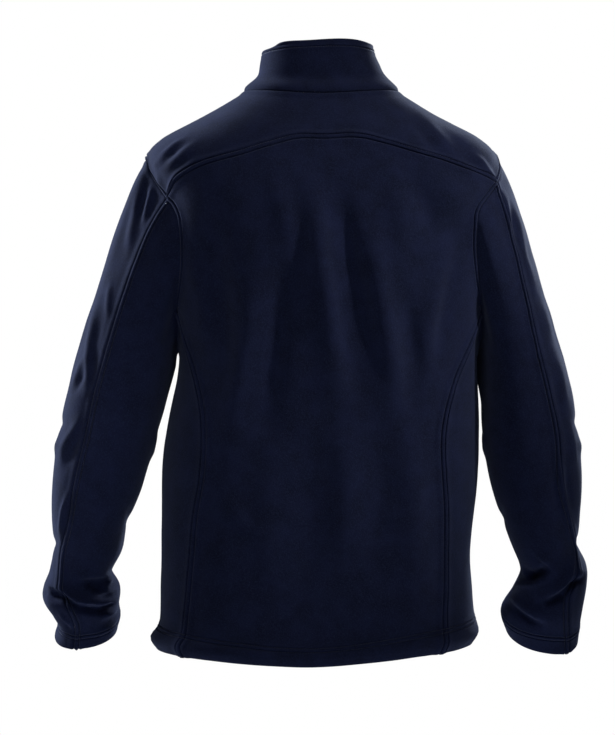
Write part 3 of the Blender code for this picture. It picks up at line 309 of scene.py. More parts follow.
SLEEVE_CREASES = {
    1: {
        "back": (
            (3.6, 3.2, (212, -113), (215, -132), (220, -152), (223, -172)),
            (3.6, -2.0, (207, -122), (210, -139), (215, -157)),
            (4.2, -2.4, (219, -119), (224, -139), (228, -162)),
            (5.5, 3.2, (225, -114), (232, -137), (235, -158), (240, -187), (242, -205)),
            (3.6, 2.0, (264, -238), (267, -253), (268, -269), (268, -287)),
            (4.6, 3.6, (280, -257), (285, -274), (288, -293), (292, -312), (293, -332),
             (293, -355), (295, -380)),
            (6.0, -2.0, (274, -277), (280, -297), (284, -317), (285, -339), (286, -362)),
            (3.8, 3.0, (297, -333), (303, -344), (308, -357), (314, -372)),
            (4.2, -2.2, (298, -352), (304, -363), (310, -378)),
            (5.5, 3.4, (303, -408), (310, -423), (318, -434), (325, -448), (330, -464)),
            (6.5, -2.8, (300, -432), (309, -444), (318, -459), (323, -474)),
            (3.2, 3.2, (320, -504), (323, -515), (327, -528), (330, -545), (332, -562)),
            (4.2, -2.8, (315, -508), (318, -520), (322, -534), (325, -552)),
            ((2.4, 7.0), 3.4, (314, -616), (300, -611), (280, -610), (265, -612)),
            (5.0, -3.4, (305, -621), (293, -619), (277, -620)),
            (2.6, 4.2, (274, -627), (272, -619), (268, -612), (264, -605)),
            (5.5, -5.0, (295, -627), (285, -630), (277, -632), (272, -627)),
            ((2.2, 4.5), 3.0, (284, -636), (270, -635), (258, -630)),
            ((2.0, 8.0), 7.4, (354, -626), (341, -627), (332, -629), (320, -637), (311, -643),
             (295, -646), (280, -647), (265, -643), (255, -637), (249, -629)),
            (7.0, -8.0, (352, -635), (340, -636), (329, -639), (318, -647)),
            (4.4, -7.5, (318, -644), (309, -651), (295, -654), (280, -655), (265, -651),
             (252, -643)),
            ((4.5, 2.0), 4.6, (249, -646), (257, -652), (267, -659), (283, -668)),
            (3.6, -3.0, (251, -655), (262, -665), (272, -673), (284, -678)),
            ((2.0, 3.4), 4.2, (335, -660), (327, -667), (320, -676)),
            (2.6, -1.8, (330, -672), (325, -676), (320, -681)),
        ),
        "front": (
            (13, 2.8, (236, -180), (246, -240), (256, -300)),
            (10, -2.6, (216, -200), (226, -260), (240, -330)),
            (8.0, -3.2, (300, -400), (272, -424), (240, -430)),
            (8.0, 3.0, (306, -414), (276, -440), (244, -450)),
            (8.0, -3.0, (322, -452), (290, -474), (256, -478)),
            (8.0, 2.6, (318, -478), (292, -496), (262, -500)),
            (7.0, -3.4, (340, -566), (312, -584), (282, -586)),
            (7.0, 3.4, (344, -584), (316, -602), (280, -606)),
            (6.0, -3.8, (346, -612), (320, -624), (284, -622)),
            (6.0, 3.0, (346, -640), (322, -650), (286, -646)),
            (5.0, -3.0, (336, -664), (312, -668), (284, -662)),
        ),
        "left": (
            (10, 2.4, (20, -250), (6, -310), (-2, -370)),
            (8.0, -2.6, (-34, -400), (4, -418), (40, -414)),
            (9.0, 2.4, (-30, -432), (4, -446), (38, -440)),
            (7.0, -2.8, (-60, -560), (-30, -572), (6, -566)),
        ),
        "right": (
            (9.0, 2.6, (30, -420), (0, -450), (-30, -460)),
            (8.0, -2.6, (26, -520), (-6, -540), (-40, -546)),
        ),
    },
    -1: {
        "back": (
            (3.2, 2.8, (-222, -120), (-228, -133), (-231, -150), (-234, -169), (-238, -184)),
            (5.0, -2.2, (-236, -144), (-238, -164), (-242, -187), (-247, -209)),
            (5.5, 3.2, (-233, -129), (-240, -145), (-245, -164), (-249, -187), (-252, -209),
             (-260, -229), (-266, -252)),
            (6.0, 2.0, (-276, -262), (-282, -287), (-288, -309)),
            (6.0, 2.2, (-292, -324), (-298, -352), (-303, -380), (-306, -412)),
            (5.0, -1.6, (-288, -352), (-293, -380), (-297, -405)),
            (5.0, 2.0, (-311, -418), (-315, -447), (-318, -474)),
            (3.4, 3.0, (-297, -459), (-299, -482), (-302, -503), (-307, -524), (-313, -547),
             (-318, -562)),
            (5.0, -2.4, (-305, -464), (-307, -489), (-311, -515), (-317, -539)),
            (5.0, -1.8, (-288, -464), (-291, -487), (-295, -509), (-301, -530)),
            (2.8, 4.6, (-246, -584), (-249, -594), (-255, -604), (-264, -618)),
            (6.0, -8.5, (-257, -606), (-268, -612), (-278, -606), (-286, -598)),
            ((8.0, 2.2), 6.8, (-238, -638), (-247, -630), (-255, -625), (-270, -620),
             (-279, -614), (-287, -606)),
            ((2.2, 7.0), 3.4, (-270, -582), (-278, -588), (-288, -597), (-298, -606)),
            (3.2, 2.6, (-252, -612), (-250, -618), (-243, -625)),
            ((2.4, 9.0), 5.6, (-239, -639), (-250, -649), (-262, -658), (-274, -664),
             (-286, -669)),
            (5.0, -4.5, (-238, -650), (-250, -659), (-264, -668), (-278, -675)),
            ((7.0, 2.2), 6.8, (-319, -590), (-318, -600), (-315, -610), (-307, -622),
             (-296, -631), (-279, -640)),
            (4.4, -6.0, (-312, -627), (-302, -636), (-290, -643), (-279, -649)),
            (3.6, -6.0, (-334, -614), (-327, -617), (-319, -620), (-310, -627)),
            (4.5, 3.0, (-332, -605), (-327, -607), (-322, -608)),
            (3.4, 3.6, (-223, -648), (-227, -656), (-229, -664), (-233, -674)),
        ),
        "front": (
            (13, 2.8, (-240, -180), (-248, -240), (-256, -310)),
            (10, -2.6, (-218, -210), (-228, -270), (-238, -340)),
            (8.0, -3.2, (-300, -396), (-268, -420), (-232, -424)),
            (8.0, 3.0, (-304, -412), (-270, -438), (-234, -444)),
            (8.0, -3.0, (-312, -456), (-280, -476), (-246, -476)),
            (7.0, -3.4, (-322, -560), (-296, -580), (-262, -580)),
            (7.0, 3.4, (-330, -578), (-300, -598), (-262, -600)),
            (6.0, -3.8, (-332, -604), (-300, -620), (-262, -620)),
            (6.0, 3.0, (-326, -634), (-296, -646), (-262, -642)),
            (5.0, -2.6, (-316, -660), (-290, -668), (-258, -664)),
        ),
        "left": (
            (22, 3.6, (0, -296), (0, -330), (0, -364), (0, -396)),
            (9.0, 2.6, (30, -420), (0, -446), (-30, -458)),
            (8.0, -2.6, (26, -516), (-8, -536), (-40, -544)),
        ),
        "right": (
            (10, 2.4, (16, -250), (4, -310), (-4, -370)),
            (8.0, -2.6, (-38, -398), (0, -418), (38, -412)),
            (9.0, 2.4, (-34, -430), (0, -446), (36, -440)),
            (7.0, -2.8, (-62, -556), (-30, -570), (4, -566)),
        ),
    },
}
COLLAR_CREASES = {
    "back": (
        (5.0, -0.8, (70, 26), (30, 20), (-30, 20), (-72, 26)),
    ),
    "front": (
        (6.0, 1.6, (64, -18), (40, -34), (18, -40)),
        (6.0, 1.6, (-64, -18), (-40, -34), (-18, -40)),
    ),
    "left": (
        (6.0, -1.2, (-60, -6), (-20, 22), (30, 30)),
    ),
    "right": (
        (6.0, -1.2, (-60, -4), (-20, 24), (28, 32)),
    ),
}
TURNED_AWAY = 0.45              # cosine to the view below which a crease begins to fade
END_SHARE, END_HEIGHT = 0.35, 0.25    # how a crease sinks towards both of its ends
VIEW_AXES = {"back": (0, 2, (0, 1, 0)), "front": (0, 2, (0, -1, 0)),
             "left": (1, 2, (1, 0, 0)), "right": (1, 2, (-1, 0, 0))}


# ---------------------------------------------------------------------------------------------
# Form of the jacket
# ---------------------------------------------------------------------------------------------
def table(columns, rows):
    """Turn rows with named columns into one array for each column."""
    return {name: np.array([row[i] for row in rows], float)
            for i, name in enumerate(columns) if i > 0}


def hermite(start, end, slope_in, slope_out, part):
    """Cubic between two values with given slopes."""
    square, cube = part ** 2, part ** 3
    return (start * (2 * cube - 3 * square + 1) + slope_in * (cube - 2 * square + part)
            + end * (3 * square - 2 * cube) + slope_out * (cube - square))


def smooth(values, at):
    """Value of a table's column at a ring number, on a cubic that passes through the rows."""
    last = len(values) - 1
    at = np.clip(np.asarray(at, float), 0, last)
    low = np.minimum(at.astype(int), last - 1)
    start, end = values[low], values[low + 1]
    before = np.where(low > 0, values[np.maximum(low - 1, 0)], 2 * start - end)
    after = np.where(low < last - 1, values[np.minimum(low + 2, last)], 2 * end - start)
    return hermite(start, end, (end - before) / 2, (after - start) / 2, at - low)


def smoothstep(low, high, value):
    """0 below low, 1 above high, and a smooth rise between."""
    part = np.clip((value - low) / (high - low), 0, 1)
    return part * part * (3 - 2 * part)


def unit(vectors):
    return vectors / np.maximum(np.linalg.norm(vectors, axis=-1, keepdims=True), 1e-9)


def square_to(vectors, normal):
    """Unit vectors with what points along a normal taken out."""
    return unit(vectors - np.sum(vectors * normal, axis=-1, keepdims=True) * normal)


def arc(points, axis):
    """Length along a grid's lines, from their first points."""
    steps = np.linalg.norm(np.diff(points, axis=axis), axis=-1)
    zero = np.zeros_like(np.take(steps, [0], axis=axis))
    return np.concatenate([zero, np.cumsum(steps, axis=axis)], axis=axis)


def along_line(distance, run, points):
    """Values of a line's points at some distances along it."""
    return np.array([np.interp(distance, run, points[:, i]) for i in range(3)]).T


BODY = table(BODY_COLUMNS, BODY_RINGS)
COLLAR = table(BODY_COLUMNS, COLLAR_RINGS)
SLEEVES = {1: table(SLEEVE_COLUMNS, LEFT_SLEEVE), -1: table(SLEEVE_COLUMNS, RIGHT_SLEEVE)}


def fold_height(x, z):
    """How far the back's largest soft folds stand out at a place of the back view."""
    total = np.zeros(np.shape(x))
    for row in BACK_FOLDS:
        fold = dict(zip(FOLD_COLUMNS, row))
        along_x, along_z = fold["x1"] - fold["x0"], fold["z1"] - fold["z0"]
        length = math.hypot(along_x, along_z)
        right, up = x - fold["x0"], z - fold["z0"]
        run = (right * along_x + up * along_z) / length ** 2
        across = (right * along_z - up * along_x) / length / fold["width"]
        past_end = np.maximum(np.abs(run - 0.5) - FOLD_HOLDS, 0) * length / (2 * fold["width"])
        total = total + fold["height"] * np.exp(-across ** 2 - past_end ** 2)
    return total


def ring_surface(rings, degrees, number, folds=False):
    """Points of the body or the collar at an angle and a ring number."""
    angle = np.radians(degrees)
    cosine, sine = np.cos(angle), np.sin(angle)
    back = sine > 0
    column = {name: smooth(rings[name], number) for name in BODY_COLUMNS[1:]}
    depth = np.where(back, column["back_y"], -column["front_y"])
    power = column["square"]
    reach = (np.abs(cosine / column["half_width"]) ** power
             + np.abs(sine / depth) ** power) ** (-1 / power)
    middle_z = np.where(back, column["back_z"], column["front_z"])
    crown = np.where(back, column["crown"], FRONT_CROWN)
    towards_middle = 1 - np.abs(cosine) ** crown
    z = (column["side_z"] + (middle_z - column["side_z"]) * towards_middle
         + column["lean"] * cosine)
    centre = column["centre_x"] * (1 - FRONT_STRAIGHT * np.clip(-sine, 0, 1) ** 2)
    if folds:
        strength = np.clip(sine * FOLDS_BEGIN, 0, 1)
        reach = reach + fold_height(centre + reach * cosine, z) * strength
    return np.stack([centre + reach * cosine, reach * sine, z], axis=-1)


def body_surface(degrees, number):
    return ring_surface(BODY, degrees, number, folds=True)


def collar_surface(degrees, number):
    return ring_surface(COLLAR, degrees, number)


def side_angle(side, degrees):
    """Angle on the body, counted from the left or the right side towards the back."""
    return degrees if side > 0 else 180.0 - degrees


def through(rows, column, at):
    """Smooth value of a short table's column, where the first column says how far along."""
    along = np.array([row[0] for row in rows])
    values = np.array([row[column] for row in rows])
    slopes = np.gradient(values, along)
    at = np.clip(np.asarray(at, float), along[0], along[-1])
    low = np.clip(np.searchsorted(along, at, side="right") - 1, 0, len(along) - 2)
    width = along[low + 1] - along[low]
    return hermite(values[low], values[low + 1], slopes[low] * width, slopes[low + 1] * width,
                   (at - along[low]) / width)


def armhole(side, around):
    """Angle from the side, and ring number, of a place on the left or the right armhole."""
    around = np.asarray(around, float) % 360
    turn = np.radians(around)
    spread = np.where(np.sin(turn) > 0, ARMHOLE_UNDER_SPREAD, ARMHOLE_FRONT_SPREAD)
    number = SHOULDER_RING + (UNDERARM_RING - SHOULDER_RING) * (1 - np.cos(turn)) / 2
    behind = around <= SIDE_BACK_AT
    rows = ARMHOLE_BACK[side]
    return (np.where(behind, through(rows, 1, around), spread * np.sin(turn)),
            np.where(behind, through(rows, 2, around), number))


def section(rings, side, around, number):
    """Points of a sleeve's ring: number 0 is the table's first row."""
    column = {name: smooth(rings[name], number) for name in SLEEVE_COLUMNS[1:]}
    turn = np.radians(around)
    bulge = 2 / SECTION_SQUARE
    out = column["half_width"] * np.sign(np.cos(turn)) * np.abs(np.cos(turn)) ** bulge
    rear = column["half_depth"] * np.sign(np.sin(turn)) * np.abs(np.sin(turn)) ** bulge
    rise, drop = np.radians(column["rise"]), np.radians(column["drop"])
    return np.stack([column["x"] + side * out * np.cos(rise), column["y"] + rear * np.cos(drop),
                     column["z"] + out * np.sin(rise) - rear * np.sin(drop)], axis=-1)


def warped(rings, around, number):
    """Place round a sleeve's ring after its columns have turned with the back seam."""
    start, end, seam = UNDER_SEAM_AT - 360, UNDER_SEAM_AT, YOKE_BACK_AT
    moved = smooth(rings["back_seam"], number)
    over = start + (around - start) * (moved - start) / (seam - start)
    under = moved + (around - seam) * (end - moved) / (end - seam)
    return np.where(around <= seam, over, under)


def sleeve_surface(side, around, number):
    """Points of a sleeve: number 0 is the armhole, 1 the bicep ring, then down the table."""
    rings = SLEEVES[side]
    around, number = np.broadcast_arrays(np.asarray(around, float), np.asarray(number, float))
    lower = section(rings, side, warped(rings, around, number - 1), number - 1)
    degrees, ring = armhole(side, around)
    start = body_surface(side_angle(side, degrees), ring)
    end_place = warped(rings, around, 0.0)
    end = section(rings, side, end_place, 0.0)
    arrive = unit(section(rings, side, end_place, ARRIVE_STEP) - end)
    turn = np.radians(around)[..., None]
    top, under = np.maximum(np.cos(turn), 0) ** 2, np.maximum(-np.cos(turn), 0) ** 2
    back, front = np.maximum(np.sin(turn), 0) ** 2, np.maximum(-np.sin(turn), 0) ** 2
    leave = (top * np.array(LEAVE_TOP) + under * np.array(LEAVE_UNDER)
             + back * np.array(LEAVE_BACK[side]) + front * np.array(LEAVE_FRONT))
    leave = unit(leave * np.array([side, 1, 1]))
    length = np.linalg.norm(end - start, axis=-1, keepdims=True)
    cap = hermite(start, end, leave * length * LEAVE_PULL, arrive * length * ARRIVE_PULL,
                  np.clip(number, 0, 1)[..., None])
    return np.where((number < 1)[..., None], cap, lower)


CORNER_RING = float(armhole(1, SIDE_BACK_AT)[1])
BACK_CORNER_RINGS = [float(armhole(side, YOKE_BACK_AT)[1]) for side in SIDE_WORDS]
BACK_START = sum(BACK_CORNER_RINGS) / 2


def side_edge(side, front, number):
    """Angle from the side of a panel's edge: the armhole, and the long seam below it."""
    along = np.clip((number - SHOULDER_RING) / (UNDERARM_RING - SHOULDER_RING), 0, 1)
    on_armhole = (ARMHOLE_FRONT_SPREAD * np.sin(np.arccos(1 - 2 * along)) if front
                  else armhole(side, SIDE_BACK_AT)[0])
    seam = through(FRONT_SEAMS if front else BACK_SEAMS, 1 if side > 0 else 2, number)
    return np.where(number <= CORNER_RING, on_armhole, seam)


# ---------------------------------------------------------------------------------------------
# Places of each panel: share across (0 to 1) and ring number or share down
# ---------------------------------------------------------------------------------------------
def yoke_seam_ring(share):
    """Ring number of the back yoke seam, from the left armhole (0) to the right one (1)."""
    return through(YOKE_SEAM, 1, share)


def back_edge(side, number):
    """Angle from the side, and ring number, down the back's edge: the armhole, then the seam."""
    above = np.clip((number - BACK_START) / (CORNER_RING - BACK_START), 0, 1)
    degrees, ring = armhole(side, YOKE_BACK_AT + (SIDE_BACK_AT - YOKE_BACK_AT) * above)
    below = number > CORNER_RING
    return np.where(below, side_edge(side, False, number), degrees), np.where(below, number, ring)


def back_place(across, number):
    """The back's rows sag with the yoke's seam at the top and are level lower down."""
    (left, left_ring), (right, right_ring) = back_edge(1, number), back_edge(-1, number)
    top_left, top_right = BACK_CORNER_RINGS
    middle = (left_ring + right_ring) / 2
    fade = np.clip(1 - (middle - BACK_START) / BACK_EVENS_OUT, 0, 1) ** EVENING
    ring = left_ring + (right_ring - left_ring) * across
    ring = ring + fade * (yoke_seam_ring(across) - top_left - (top_right - top_left) * across)
    return body_surface(left + (180 - right - left) * across, ring)


def yoke_place(across, down):
    """The yoke's columns run from the neck to one armhole, the back seam, then the other
    armhole, with a third of them each."""
    shoulder = np.clip(np.minimum(across, 1 - across) * 3, 0, 1)
    middle = np.clip(across * 3 - 1, 0, 1)
    around = YOKE_FRONT_AT + (YOKE_BACK_AT - YOKE_FRONT_AT) * shoulder
    (left, left_ring), (right, right_ring) = armhole(1, around), armhole(-1, around)
    neck = YOKE_NECK_FRONT + (YOKE_NECK_BACK - YOKE_NECK_FRONT) * shoulder
    start, end = (float(armhole(side, YOKE_BACK_AT)[0]) for side in SIDE_WORDS)
    lower = np.where(across < 0.5, left, 180 - right)
    lower = np.where(shoulder < 1, lower, start + (180 - end - start) * middle)
    upper = np.where(across < 0.5, neck, 180 - neck)
    upper = np.where(shoulder < 1, upper, YOKE_NECK_BACK + (180 - 2 * YOKE_NECK_BACK) * middle)
    ring = np.where(across < 0.5, left_ring, right_ring)
    ring = np.where(shoulder < 1, ring, yoke_seam_ring(middle))
    return body_surface(upper + (lower - upper) * down, ring * down)


def zip_angle(rings, number):
    """Angle from the side of a front's edge beside the zip."""
    forward = -smooth(rings["front_y"], number)
    return 90 - np.degrees(np.arcsin(ZIP_GAP / 2 / forward))


def front_place(side, across, number):
    """A front goes from the zip to the yoke's seam, the armhole and the long front seam."""
    degrees, corner = (float(value) for value in armhole(side, YOKE_FRONT_AT))
    beside_yoke = -YOKE_NECK_FRONT + (YOKE_NECK_FRONT - degrees) * number / corner
    edge = np.where(number < corner, beside_yoke, side_edge(side, True, number))
    inner = zip_angle(BODY, number)
    return body_surface(side_angle(side, -(inner + (edge - inner) * across)), number)


def side_place(side, across, number):
    """A side panel hangs from the armhole's underside, between the two long seams."""
    around = SIDE_BACK_AT + (SIDE_FRONT_AT - SIDE_BACK_AT) * across
    arc_degrees, arc_ring = armhole(side, around)
    back, front = side_edge(side, False, number), -side_edge(side, True, number)
    start_back = float(side_edge(side, False, CORNER_RING))
    start_front = -float(side_edge(side, True, CORNER_RING))
    fade = np.clip(1 - (number - CORNER_RING) / SIDE_EVENS_OUT, 0, 1) ** EVENING
    even = back + (front - back) * across
    start = start_back + (start_front - start_back) * across
    degrees = even + fade * (arc_degrees - start)
    ring = number + fade * (arc_ring - CORNER_RING)
    return body_surface(side_angle(side, degrees), ring)


def sleeve_place(side, low, high, across, number):
    """A sleeve's piece lies between two seams, which are places round the armhole."""
    return sleeve_surface(side, low + (high - low) * across, number)


def collar_place(across, number):
    """The collar goes from the zip round the neck to the zip."""
    edge = zip_angle(COLLAR, number)
    return collar_surface(-edge + (180 + 2 * edge) * across, number)


# ---------------------------------------------------------------------------------------------
# Cloth: grids with rows and columns close together beside seams and stitching
# ---------------------------------------------------------------------------------------------
ZIP_GAP = 7.0
WELT = 6.4                    # from a seam to the stitching that holds its allowance down
LINE_APART = 5.0              # between the two needle lines of the hem and the cuffs
EDGE_LINE = 6.4               # stitching beside the zip
PULL_DEPTH, PULL_IN_WIDTH = 1.35, 0.9     # how a line of stitches draws the cloth in
PUFF_HEIGHT, PUFF_WIDTH = 0.75, 3.2       # and how the cloth stands up beside it
SEAM_REACH = 3.0              # from a seam to where a stitched line has its full depth
LINE_REACH = 1.5              # the same where a line runs into another seam
CREASE_REACH = 12.0           # from a seam to where a crease has its full height
CROSSES = 0.5                 # share of a crease that runs on over a seam of the body
PLAIN_STOPS = (0.0, 0.4, 0.9, 1.6, 2.6, 4.2, 6.5, 9.5)
WELT_STOPS = (0.0, 0.4, 0.9, 1.5, 2.4, 3.6, 4.8, 5.5, 6.0, WELT, 6.8, 7.3, 8.2, 9.8, 12.5)
LINE_STOPS = (0.0, 0.4, 0.9, 1.6, 2.6, 3.8, 4.5, LINE_APART, 5.5, 6.2, 7.5, 10.0)
NEAR_LINE_STOPS = (0.0, 0.4, 0.9, 1.6, 2.6, 4.2, 7.0)
TURNED_STOPS = (0.0, 1.2, 3.0)
TURN_ROWS = 8                 # rows round a turned edge
AWAY_FROM_EDGES = 0.37        # share of a sheet's faces before one that is on no edge
RAW_EDGE_ANGLE = 75           # where a cloth's face ends in its cut edge
BREAK_STOPS = (0.0, 3.0)
DENSE = 60                    # samples along a line when its rows or columns are spaced out
ROOM_FOR_STOPS = 1.4          # shortest line, in lengths of its stops, that isn't squeezed
BODY_STEP, YOKE_STEP, SLEEVE_STEP, COLLAR_STEP = 4.2, 2.8, 2.7, 3.2


def spaced(lengths, near, far, step):
    """Distances along lines of some lengths: close stops at both ends, even ones between."""
    near, far = np.array(near), np.array(far)
    taken = near[-1] + far[-1]
    squeeze = np.minimum(1, lengths / (ROOM_FOR_STOPS * taken))[:, None]
    count = max(2, int(round((float(np.mean(lengths)) - taken) / step)))
    first = near[None, :] * squeeze
    last = lengths[:, None] - far[::-1][None, :] * squeeze
    even = np.linspace(0, 1, count + 1)[1:-1][None, :]
    return np.concatenate([first, first[:, -1:] + (last[:, :1] - first[:, -1:]) * even, last],
                          axis=1)


def joined(parts):
    """Join the rows of neighbouring sections, which share their border row."""
    return np.concatenate([parts[0]] + [part[1:] for part in parts[1:]])


def cloth_grid(place, down_sections, across_sections, step):
    """Lay out a panel's grid.  A section is (from, to, stops near its start, stops near its
    end), in ring numbers down the panel and in shares across it."""
    borders = [section[0] for section in across_sections] + [across_sections[-1][1]]
    sample = np.concatenate([np.linspace(low, high, DENSE)[:-1]
                             for low, high in zip(borders, borders[1:])] + [[borders[-1]]])
    rows = []
    for low, high, near, far in down_sections:
        down = np.linspace(low, high, DENSE)
        run = arc(place(sample[None, :], down[:, None]), 0)
        stops = spaced(run[-1], near, far, step)
        rows.append(np.array([np.interp(stops[j], run[:, j], down)
                              for j in range(len(sample))]).T)
    number = joined(rows)
    breaks = np.cumsum([0] + [len(part) - 1 for part in rows])
    run = arc(place(sample[None, :], number), 1)
    columns = []
    for low, high, near, far in across_sections:
        first = int(np.argmin(np.abs(sample - low)))
        last = int(np.argmin(np.abs(sample - high)))
        part = run[:, first:last + 1] - run[:, first:first + 1]
        stops = spaced(part[:, -1], near, far, step)
        columns.append(np.array([np.interp(stops[i], part[i], sample[first:last + 1])
                                 for i in range(len(number))]).T)
    share = joined(columns).T
    column_breaks = np.cumsum([0] + [len(part) - 1 for part in columns])
    ring = np.array([np.interp(share[i], sample, number[i]) for i in range(len(number))])
    points = place(share, ring)
    down, right = arc(points, 0), arc(points, 1)
    return {"points": points, "ring": ring, "share": share, "breaks": breaks,
            "columns": column_breaks, "top": down, "bottom": down[-1:] - down,
            "left": right, "right": right[:, -1:] - right}


def grid_normals(points, outward):
    """Unit normals of a grid, on the side of its middle that an outward direction is on."""
    normal = unit(np.cross(np.gradient(points, axis=0), np.gradient(points, axis=1)))
    row, column = normal.shape[0] // 2, normal.shape[1] // 2
    return normal * np.sign(np.dot(normal[row, column], np.array(outward, float)))


def beside_route(flat, ends):
    """How far places are from a route of straight lines, whether they are on its left, and
    the share of the route before the point that is nearest."""
    lengths = np.linalg.norm(np.diff(ends, axis=0), axis=1)
    best = np.full(flat.shape[:-1], np.inf)
    on_left, run = np.zeros(best.shape, bool), np.zeros(best.shape)
    for k, length in enumerate(lengths):
        along = (ends[k + 1] - ends[k]) / length
        part = np.clip((flat - ends[k]) @ along, 0, length)
        offset = flat - ends[k] - part[..., None] * along
        gap = np.linalg.norm(offset, axis=-1)
        nearer = gap < best
        best = np.where(nearer, gap, best)
        on_left = np.where(nearer, along[0] * offset[..., 1] > along[1] * offset[..., 0],
                           on_left)
        run = np.where(nearer, (lengths[:k].sum() + part) / lengths.sum(), run)
    return best, on_left, run


def crease_height(points, normal, creases):
    """Sum of the creases at a grid's points, each in the view that it was placed in."""
    total = np.zeros(points.shape[:-1])
    for view, rows in creases.items():
        first, second, facing = VIEW_AXES[view]
        seen = smoothstep(0.0, TURNED_AWAY, normal @ np.array(facing, float))
        flat = points[..., [first, second]]
        for width, height, *route in rows:
            gap, on_left, run = beside_route(flat, np.array(route, float))
            taper = END_HEIGHT + (1 - END_HEIGHT) * smoothstep(
                0, END_SHARE, np.minimum(run, 1 - run))
            left_width, right_width = width if isinstance(width, tuple) else (width, width)
            total += height * taper * seen * np.exp(
                -(gap / np.where(on_left, left_width, right_width)) ** 2)
    return total


def waviness(points):
    """Slow unevenness of soft cloth: waves 60 to 180 mm long, under half a millimetre high."""
    x, y, z = (points[..., i] for i in range(3))
    return (0.22 * np.sin(x / 13.0 + 1.3 * np.sin(z / 29.0)) * np.sin(z / 17.0 + y / 23.0)
            + 0.16 * np.sin(z / 9.5 + 2.1 * np.sin(x / 21.0 + y / 17.0)))


def band(distance, height, rises, falls):
    """A raised band along a seam: two (from, to) distances say where it rises and falls."""
    return height * smoothstep(*rises, distance) * (1 - smoothstep(*falls, distance))


def stitched(distance):
    """Thread pulls the cloth in along its line, which leaves it softly raised beside it."""
    return (PUFF_HEIGHT * np.exp(-(distance / PUFF_WIDTH) ** 2)
            - PULL_DEPTH * np.exp(-(distance / PULL_IN_WIDTH) ** 2))


def plain_seam(distance):
    """Cloth rolls up out of a seam and settles within a centimetre."""
    return band(distance, 1.3, (0, 1.5), (3, 11))


def welt_seam(distance):
    """The allowance under the cloth raises a band that the stitching holds down."""
    return (band(distance, 2.1, (0, 1.6), (WELT - 1.6, WELT))
            + band(distance, 1.0, (WELT, WELT + 1.2), (WELT + 2, WELT + 9))
            + stitched(distance - WELT) * smoothstep(0, SEAM_REACH, distance))


def zip_edge(distance):
    """A front's edge is turned in over the tape and stitched."""
    return (band(distance, 0.8, (0, 2), (4, EDGE_LINE))
            + stitched(distance - EDGE_LINE) * smoothstep(0, SEAM_REACH, distance))


def seam_lift(grid, seams):
    """Height that a panel's seams give it, and how far its creases may run into them.
    A seam is (edge, share of it that is welted or "zip", share of a crease that crosses)."""
    lift, calm = 0.0, 1.0
    for edge, welted, crossing in seams:
        distance = grid[edge]
        others = 1.0
        for other, _, _ in seams:
            if other != edge:
                others = others * smoothstep(0, LINE_REACH, grid[other])
        if isinstance(welted, str):
            profile = zip_edge(distance)
        else:
            profile = welted * welt_seam(distance) + (1 - welted) * plain_seam(distance)
        lift = lift + profile * others
        calm = calm * (crossing + (1 - crossing) * smoothstep(0, CREASE_REACH, distance))
    return lift, calm


def deselect():
    bpy.ops.object.select_all(action="DESELECT")


def named(name):
    """Name the object that an operator has just added."""
    piece = bpy.context.object
    piece.name = piece.data.name = name
    return piece


def apply_modifier(piece, modifier):
    bpy.context.view_layer.objects.active = piece
    bpy.ops.object.modifier_apply(modifier=modifier.name)


def read_points(piece):
    flat = np.empty(len(piece.data.vertices) * 3)
    piece.data.vertices.foreach_get("co", flat)
    return flat.reshape(-1, 3)


def write_points(piece, points):
    piece.data.vertices.foreach_set("co", points.ravel())
    piece.data.update()


def finish_piece(piece, finish, body=GARMENT):
    """Give a piece its material and the body it rides on."""
    piece.data.materials.clear()
    piece.data.materials.append(material(finish))
    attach(piece, body)


def grid_piece(name, points):
    """Add a grid primitive with this many rows and columns and set its points."""
    rows, columns = points.shape[:2]
    deselect()
    bpy.ops.mesh.primitive_grid_add(x_subdivisions=columns - 1, y_subdivisions=rows - 1,
                                    size=2.0)
    piece = named(name)
    start = read_points(piece)
    column = np.rint((start[:, 0] + 1) / 2 * (columns - 1)).astype(int)
    row = np.rint((1 - start[:, 1]) / 2 * (rows - 1)).astype(int)
    write_points(piece, points[row, column] * MM)
    return piece


def thicken(piece, wall, wanted):
    """Turn a sheet's faces outwards and give it its thickness on the inner side."""
    mesh = piece.data
    inner_face = mesh.polygons[int(len(mesh.polygons) * AWAY_FROM_EDGES)]
    if inner_face.normal.dot(wanted(inner_face.center)) < 0:
        mesh.flip_normals()
    solid = piece.modifiers.new("cloth", "SOLIDIFY")
    solid.thickness = wall
    solid.offset = -1
    apply_modifier(piece, solid)
    piece.data.shade_smooth()
    piece.data.set_sharp_from_angle(angle=math.radians(RAW_EDGE_ANGLE))


def turn_under(points, normal, back_to):
    """Rows that carry a panel round its last row and back inside, as a turned edge."""
    out = normal[-1]
    down = square_to(points[-1] - points[-3], out)
    radius = bpy.context.scene.jacket_cloth.turn / MM
    middle = points[-1] - out * radius
    bend = [middle + radius * (math.cos(turn) * out + math.sin(turn) * down)
            for turn in np.radians(np.linspace(0, 180, TURN_ROWS + 1)[1:])]
    inside = [points[i] - normal[i] * 2 * radius
              for i in range(len(points) - 2, back_to, -2)]
    return np.concatenate([points, bend, inside])


